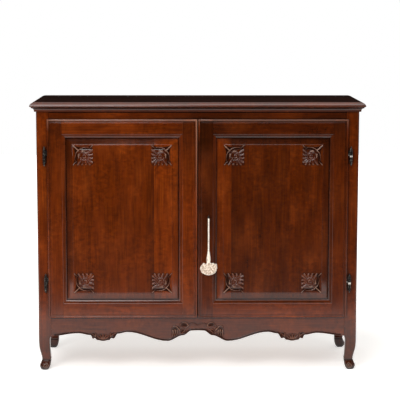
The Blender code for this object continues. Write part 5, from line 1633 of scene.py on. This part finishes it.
class CREDENZA_OT_carving(Operator):
    """Carve the corners of the door panels and the leaves of the apron"""

    bl_idname = "credenza.carving"
    bl_label = "Carving"

    def execute(self, context):
        sizes = context.scene.credenza_sizes
        levels = panel_levels(sizes.mould_depth + PANEL_SETBACK, sizes)
        field_depth = levels[-1][1]
        inner = sizes.frame_width + sizes.bevel_width + STEP_RUN + CORNER_INSET
        spots = carving_points(0.0, sizes.carving / MM, sizes)
        heights = corner_heights(*np.meshgrid(spots, spots))
        for side in (LEFT, RIGHT):
            corners = []
            for far in (False, True):
                for high in (False, True):
                    def place(u, v, height):
                        inward = DOOR_WIDTH - inner - u * MM if far else inner + u * MM
                        up = DOOR_HEIGHT - inner - v * MM if high else inner + v * MM
                        return door_place(side, inward, up, field_depth - height)

                    corners.append(relief("corner", heights, spots, spots, place, CORNER_LEVELS))
            name = SIDE_NAMES[side] + "_door"
            keep_walnut(name + "_carved_corners", joined(name, corners), "waxed_walnut_z", body=name,
                        tones=[CARVED_TONES[side]])

        def on_apron(u, v, height):
            return (u * MM, FRONT - height, v * MM)

        leaves = []
        for ribs, dishes, middle, reach, low, high in APRON_FIELDS:
            us = carving_points(middle - reach, middle + reach, sizes)
            vs = carving_points(low, high, sizes)
            us_grid, vs_grid = np.meshgrid(us, vs)
            heights = mirrored_heights(us_grid - middle, vs_grid, ribs, dishes)
            leaves.append(relief("leaf", heights, us, vs, on_apron, APRON_LEVELS))
        keep_walnut("front_apron_leaves", joined("leaves", leaves), "waxed_walnut_x", body="carcass",
                    tones=APRON_TONES[:1])
        return {"FINISHED"}


# Inside and back

class CREDENZA_OT_inside(Operator):
    """Dress the shelf, the bottom, the bearers and the back"""

    bl_idname = "credenza.inside"
    bl_label = "Inside and back"

    def execute(self, context):
        sizes = context.scene.credenza_sizes
        grains = {"bottom_board": "x", "shelf": "x", "back_top_rail": "x", "back_bottom_rail": "x"}
        for side in SIDE_NAMES.values():
            grains.update({f"{side}_floor_bearer": "y", f"{side}_shelf_bearer": "y"})
        grains.update({f"back_board_{number}": "z" for number in (1, 2, 3)})
        for name, letter in grains.items():
            keep(name + "_planed", softened(name, sizes.arris), "aged_poplar_" + letter, "plain_inside_wood",
                 stands_for=[name])
        return {"FINISHED"}


# Ironwork

# Half of a hinge from its middle outwards: share of the barrel's radius, share of the half's length
HINGE_HALF = 0.041
HINGE_BARREL = ((0.94, 0.007), (1.0, 0.03), (1.0, 0.085), (1.0, 0.10), (1.0, 0.47), (0.90, 0.49),
                (0.90, 0.52), (1.0, 0.54))
HINGE_FINIAL = ((1.0, 0.60), (0.70, 0.65), (0.90, 0.71), (0.60, 0.80), (0.36, 0.88), (0.52, 0.94),
                (0.30, 0.98))
# A leaf's half thickness, its overlap with the barrel, its lowest and highest edge from the hinge's middle,
# and how far an upper leaf stands before the carcass
LEAF_HALF = 0.0012
LEAF_ROOT = 0.003
LEAF_EDGES = (0.003, 0.0235)
LEAF_PROUD = 0.004
# The pin from its root up: radius, height over the hinge's middle
HINGE_PIN = ((0.0, -0.010), (0.00285, -0.010), (0.00285, 0.0218), (0.00165, 0.023), (0.0, 0.023))
# The right hinges get a painted glint where their halves turn on each other
WORN_COLLAR = 0.0038
HANDLED = {LEFT: 0.0, RIGHT: -1.0}
# Plain iron pieces, and their filed edges
FILED = ("lock_case", "lock_bolt", "lock_keeper", "left_top_bolt_guide", "left_bottom_bolt_guide")
FILED_EDGE = 0.0005
# A slide bolt's bevelled ends, its knob's place from the outer end, and the knob: radius, share of its reach
ROD_BEVEL = 0.0008
KNOB_AT = 0.061
KNOB_LEVELS = ((0.0022, 0.0), (0.0022, 0.45), (0.0030, 0.62), (0.0037, 0.80), (0.0030, 0.95), (0.0012, 1.0))
# The key: its bow's wire and radius, its collars by radius and place on the shank, its bit's half thickness,
# and how far the bit's ends are from the shank's
KEY_WIRE = 0.0022
BOW_RADIUS = 0.0100
BOW_STEPS = 36
SHANK_RADIUS = 0.0030
KEY_COLLARS = ((0.0, -0.001), (0.0030, -0.001), (0.0030, 0.0012), (0.0042, 0.0018), (0.0042, 0.0030),
               (0.0031, 0.0036), (0.0031, 0.0048), (0.0038, 0.0053), (0.0038, 0.0061), (0.0030, 0.0066))
BIT_HALF = 0.002
BIT_ENDS = (0.0085, 0.0015)


class CREDENZA_OT_ironwork(Operator):
    """Make the lift-off hinges, the lock, the key and the slide bolts"""

    bl_idname = "credenza.ironwork"
    bl_label = "Ironwork"

    def execute(self, context):
        sizes = context.scene.credenza_sizes
        for side, word in SIDE_NAMES.items():
            for level in ("lower", "upper"):
                self.hinge_half(f"{word}_{level}_hinge_pintle", -1, side, sizes)
                self.hinge_half(f"{word}_door_{level}_hinge_socket", 1, side, sizes)
        for name in FILED:
            keep_iron(name + "_filed", softened(name, FILED_EDGE), stands_for=[name])
        self.slide_bolt("left_top_slide_bolt", 1)
        self.slide_bolt("left_bottom_slide_bolt", -1)
        self.key()
        return {"FINISHED"}

    def hinge_half(self, name, up, side, sizes):
        """A turned barrel with its finial, and the leaf that is let into the wood."""
        low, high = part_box(name)
        axis = Vector(JOINTS[SIDE_NAMES[side] + "_door_hinge"]["pos_m"])
        middle = (high.z if up > 0 else low.z) - up * HINGE_HALF
        near, far = [middle + up * edge for edge in LEAF_EDGES]
        turned = [*HINGE_BARREL, *through(HINGE_FINIAL, steps=4)]
        profile = [(share * sizes.hinge_radius, along * HINGE_HALF) for share, along in turned]
        profile = [(0.0, profile[0][1]), *profile, (0.0, HINGE_HALF)]
        stand = Matrix.Translation((axis.x, axis.y, middle))
        barrel = lathe(name, profile, stand @ Matrix.Diagonal((1.0, 1.0, up, 1.0)))
        if up < 0:
            leaf = block("leaf", (axis.x - LEAF_HALF, axis.y + LEAF_ROOT, far),
                         (axis.x + LEAF_HALF, high.y, near))
            barrel = carved(name, barrel, "UNION", leaf, lathe("pin", HINGE_PIN, stand))
        else:
            y = FRONT - LEAF_PROUD
            leaf = block("leaf", (axis.x - side * LEAF_ROOT, y - LEAF_HALF, near),
                         (low.x if side > 0 else high.x, y + LEAF_HALF, far))
            barrel = carved(name, barrel, "UNION", leaf)
        # The painted glint on a right hinge's collar
        worn = abs(points_of(barrel)[:, 2] - middle) < WORN_COLLAR
        keep_iron(name + "_turned", waxed(barrel, np.where(worn, HANDLED[side], 0.0)), stands_for=[name])

    def slide_bolt(self, name, up):
        """A drawn rod with a turned knob."""
        low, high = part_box(name)
        x, y = (low.x + high.x) / 2, low.y + SLIDE_RADIUS
        long = high.z - low.z
        half = [(0.0, 0.0), (SLIDE_RADIUS - ROD_BEVEL, 0.0), (SLIDE_RADIUS, ROD_BEVEL)]
        rod = lathe(name, half + [(radius, long - height) for radius, height in reversed(half)],
                    Matrix.Translation((x, y, low.z)), steps=20)
        reach = high.y - y
        shape = through([(radius, share * reach) for radius, share in KNOB_LEVELS], steps=4)
        knob_z = high.z - KNOB_AT if up > 0 else low.z + KNOB_AT
        knob = lathe("knob", [(0.0, 0.0)] + [tuple(point) for point in shape] + [(0.0, reach)],
                     pointing_back(x, y, knob_z), steps=20)
        keep_iron(name + "_drawn", carved(name, rod, "UNION", knob), stands_for=[name])

    def key(self):
        """A ring bow, a shank with collars and a bit."""
        low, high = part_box("key")
        bow_y = low.y + KEY_WIRE + BOW_RADIUS
        shank_long = high.y - bow_y - BOW_RADIUS
        profile = [*KEY_COLLARS, (SHANK_RADIUS, shank_long), (0.0, shank_long)]
        shank = lathe("key", profile, pointing_back(KEY_AT.x, bow_y + BOW_RADIUS, KEY_AT.z), steps=24)
        ring = []
        for along, upward in circle(1.0, BOW_STEPS):
            out = Vector((0.0, along, upward))
            centre = Vector((KEY_AT.x, bow_y, KEY_AT.z)) + out * BOW_RADIUS
            ring.append([centre + out * a + Vector((b, 0.0, 0.0)) for a, b in circle(KEY_WIRE, steps=12)])
        bow = skin("bow", ring, ring=True)
        start, end = [high.y - place for place in BIT_ENDS]
        bit = block("bit", (KEY_AT.x - BIT_HALF, start, low.z), (KEY_AT.x + BIT_HALF, end, KEY_AT.z))
        keep_iron("key_forged", carved("key", shank, "UNION", bow, bit), stands_for=["key"])


# Nails and screws

# Heights of the heads, widths of their slots, the crown's share of a head, and how far they are turned
NAIL_HEIGHT = 0.0012
NAIL_SLOT = 0.00001
SCREW_HEIGHT = 0.0014
SCREW_SLOT = 0.0009
CROWN_SHARE = 0.72
SLOT_REACH = 3.0
HEAD_SPIN = 1.5
HEAD_SEED = 3
# The nails' shares of a board's width and of a rail's height
NAIL_COLUMNS = (0.08, 0.36, 0.64, 0.92)
NAIL_ROWS = (0.3, 0.72)
# The screws' places: in from the lock case's edges; in from a guide's edges, on its flange, off its middle
LOCK_SCREW_INSET = 0.0075
GUIDE_SCREW_INSET = 0.0042
GUIDE_FLANGE = 0.002
GUIDE_SCREW_LIFT = 0.020


def fixing_tree(finish):
    """Geometry Nodes that set a slotted head at each point, facing the back."""
    tree, add, given = new_tree("fixings", "Points", "Heads", dict.fromkeys(
        ("Head Radius", "Head Height", "Slot Width"), "NodeSocketFloat"))
    crown = maths(add, "MULTIPLY", given["Head Radius"], CROWN_SHARE)
    head = add("GeometryNodeMeshCone", {"Vertices": 16, "Radius Bottom": given["Head Radius"],
                                        "Radius Top": crown, "Depth": given["Head Height"]})
    wide = maths(add, "MULTIPLY", given["Head Radius"], SLOT_REACH)
    across = add("ShaderNodeCombineXYZ", {0: wide, 1: given["Slot Width"], 2: given["Head Height"]})
    lift = add("ShaderNodeCombineXYZ", {2: given["Head Height"]})
    bar = add("GeometryNodeMeshCube", {"Size": across})
    raised = add("GeometryNodeTransform", {"Geometry": bar, "Translation": lift})
    slotted = add("GeometryNodeMeshBoolean", {"Mesh 1": head, "Mesh 2": raised}, operation="DIFFERENCE")
    set_out(add, given["Points"], slotted, (0.0, 1.0, 0.0), "Z", HEAD_SPIN, HEAD_SEED, finish)
    return tree


class CREDENZA_OT_fixings(Operator):
    """Drive the nails of the back boards and the screws of the lock and the bolts"""

    bl_idname = "credenza.fixings"
    bl_label = "Nails and screws"

    def execute(self, context):
        sizes = context.scene.credenza_sizes
        tree = fixing_tree(finish_of("blackened_iron"))
        nail = {"Head Radius": sizes.nail_radius, "Head Height": NAIL_HEIGHT, "Slot Width": NAIL_SLOT}
        screw = {"Head Radius": sizes.screw_radius, "Head Height": SCREW_HEIGHT, "Slot Width": SCREW_SLOT}
        spots = []
        for number in (1, 2, 3):
            low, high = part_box(f"back_board_{number}")
            for rail in ("back_top_rail", "back_bottom_rail"):
                rail_low, rail_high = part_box(rail)
                for column in NAIL_COLUMNS:
                    x = low.x + (high.x - low.x) * column
                    spots += [(x, REAR, rail_low.z + (rail_high.z - rail_low.z) * row) for row in NAIL_ROWS]
        self.drive("back_nails", spots, "carcass", tree, nail)

        low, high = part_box("lock_case")
        spots = [(x, high.y, z) for x in (low.x + LOCK_SCREW_INSET, high.x - LOCK_SCREW_INSET)
                 for z in (low.z + LOCK_SCREW_INSET, high.z - LOCK_SCREW_INSET)]
        self.drive("lock_screws", spots, "right_door", tree, screw)
        spots = []
        for level in ("top", "bottom"):
            low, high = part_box(f"left_{level}_bolt_guide")
            middle = (low.z + high.z) / 2
            spots += [(x, low.y + GUIDE_FLANGE, middle + lift)
                      for x in (low.x + GUIDE_SCREW_INSET, high.x - GUIDE_SCREW_INSET)
                      for lift in (-GUIDE_SCREW_LIFT, GUIDE_SCREW_LIFT)]
        self.drive("guide_screws", spots, "left_door", tree, screw)
        return {"FINISHED"}

    def drive(self, name, spots, body, tree, values):
        """Set heads at points on one body."""
        mesh = bpy.data.meshes.new(name)
        mesh.from_pydata(spots, [], [])
        keep_iron(name, grown(name, mesh, tree, values), body=body)


class CREDENZA_PT_panel(Panel):
    """Lists the credenza's sizes, colours and steps"""

    bl_idname = "CREDENZA_PT_panel"
    bl_label = "Credenza"
    bl_space_type = "VIEW_3D"
    bl_region_type = "UI"
    bl_category = "Credenza"

    def draw(self, context):
        for operator in OPERATORS:
            self.layout.operator(operator.bl_idname)
        scene = context.scene
        for group in (scene.credenza_sizes, scene.credenza_colours, scene.credenza_stage):
            box = self.layout.box()
            for name in group.bl_rna.properties.keys():
                if name not in ("rna_type", "name"):
                    box.prop(group, name)


OPERATORS = (CREDENZA_OT_stage, CREDENZA_OT_tassel, CREDENZA_OT_top, CREDENZA_OT_legs, CREDENZA_OT_apron,
             CREDENZA_OT_sides, CREDENZA_OT_doors, CREDENZA_OT_carving, CREDENZA_OT_inside,
             CREDENZA_OT_ironwork, CREDENZA_OT_fixings)
GROUPS = (CREDENZA_PG_sizes, CREDENZA_PG_colours, CREDENZA_PG_stage)


def register():
    """Add the classes, and the settings to the scene."""
    for item in (*GROUPS, *OPERATORS, CREDENZA_PT_panel):
        bpy.utils.register_class(item)
    bpy.types.Scene.credenza_sizes = PointerProperty(type=CREDENZA_PG_sizes)
    bpy.types.Scene.credenza_colours = PointerProperty(type=CREDENZA_PG_colours)
    bpy.types.Scene.credenza_stage = PointerProperty(type=CREDENZA_PG_stage)


def unregister():
    """Take the settings and the classes away again."""
    del bpy.types.Scene.credenza_stage
    del bpy.types.Scene.credenza_colours
    del bpy.types.Scene.credenza_sizes
    for item in (CREDENZA_PT_panel, *reversed(OPERATORS), *reversed(GROUPS)):
        bpy.utils.unregister_class(item)


def main():
    """Register the add-on and make every group of pieces in order."""
    register()
    for operator in OPERATORS:
        group, name = operator.bl_idname.split(".")
        getattr(getattr(bpy.ops, group), name)()


if __name__ == "__main__":
    main()
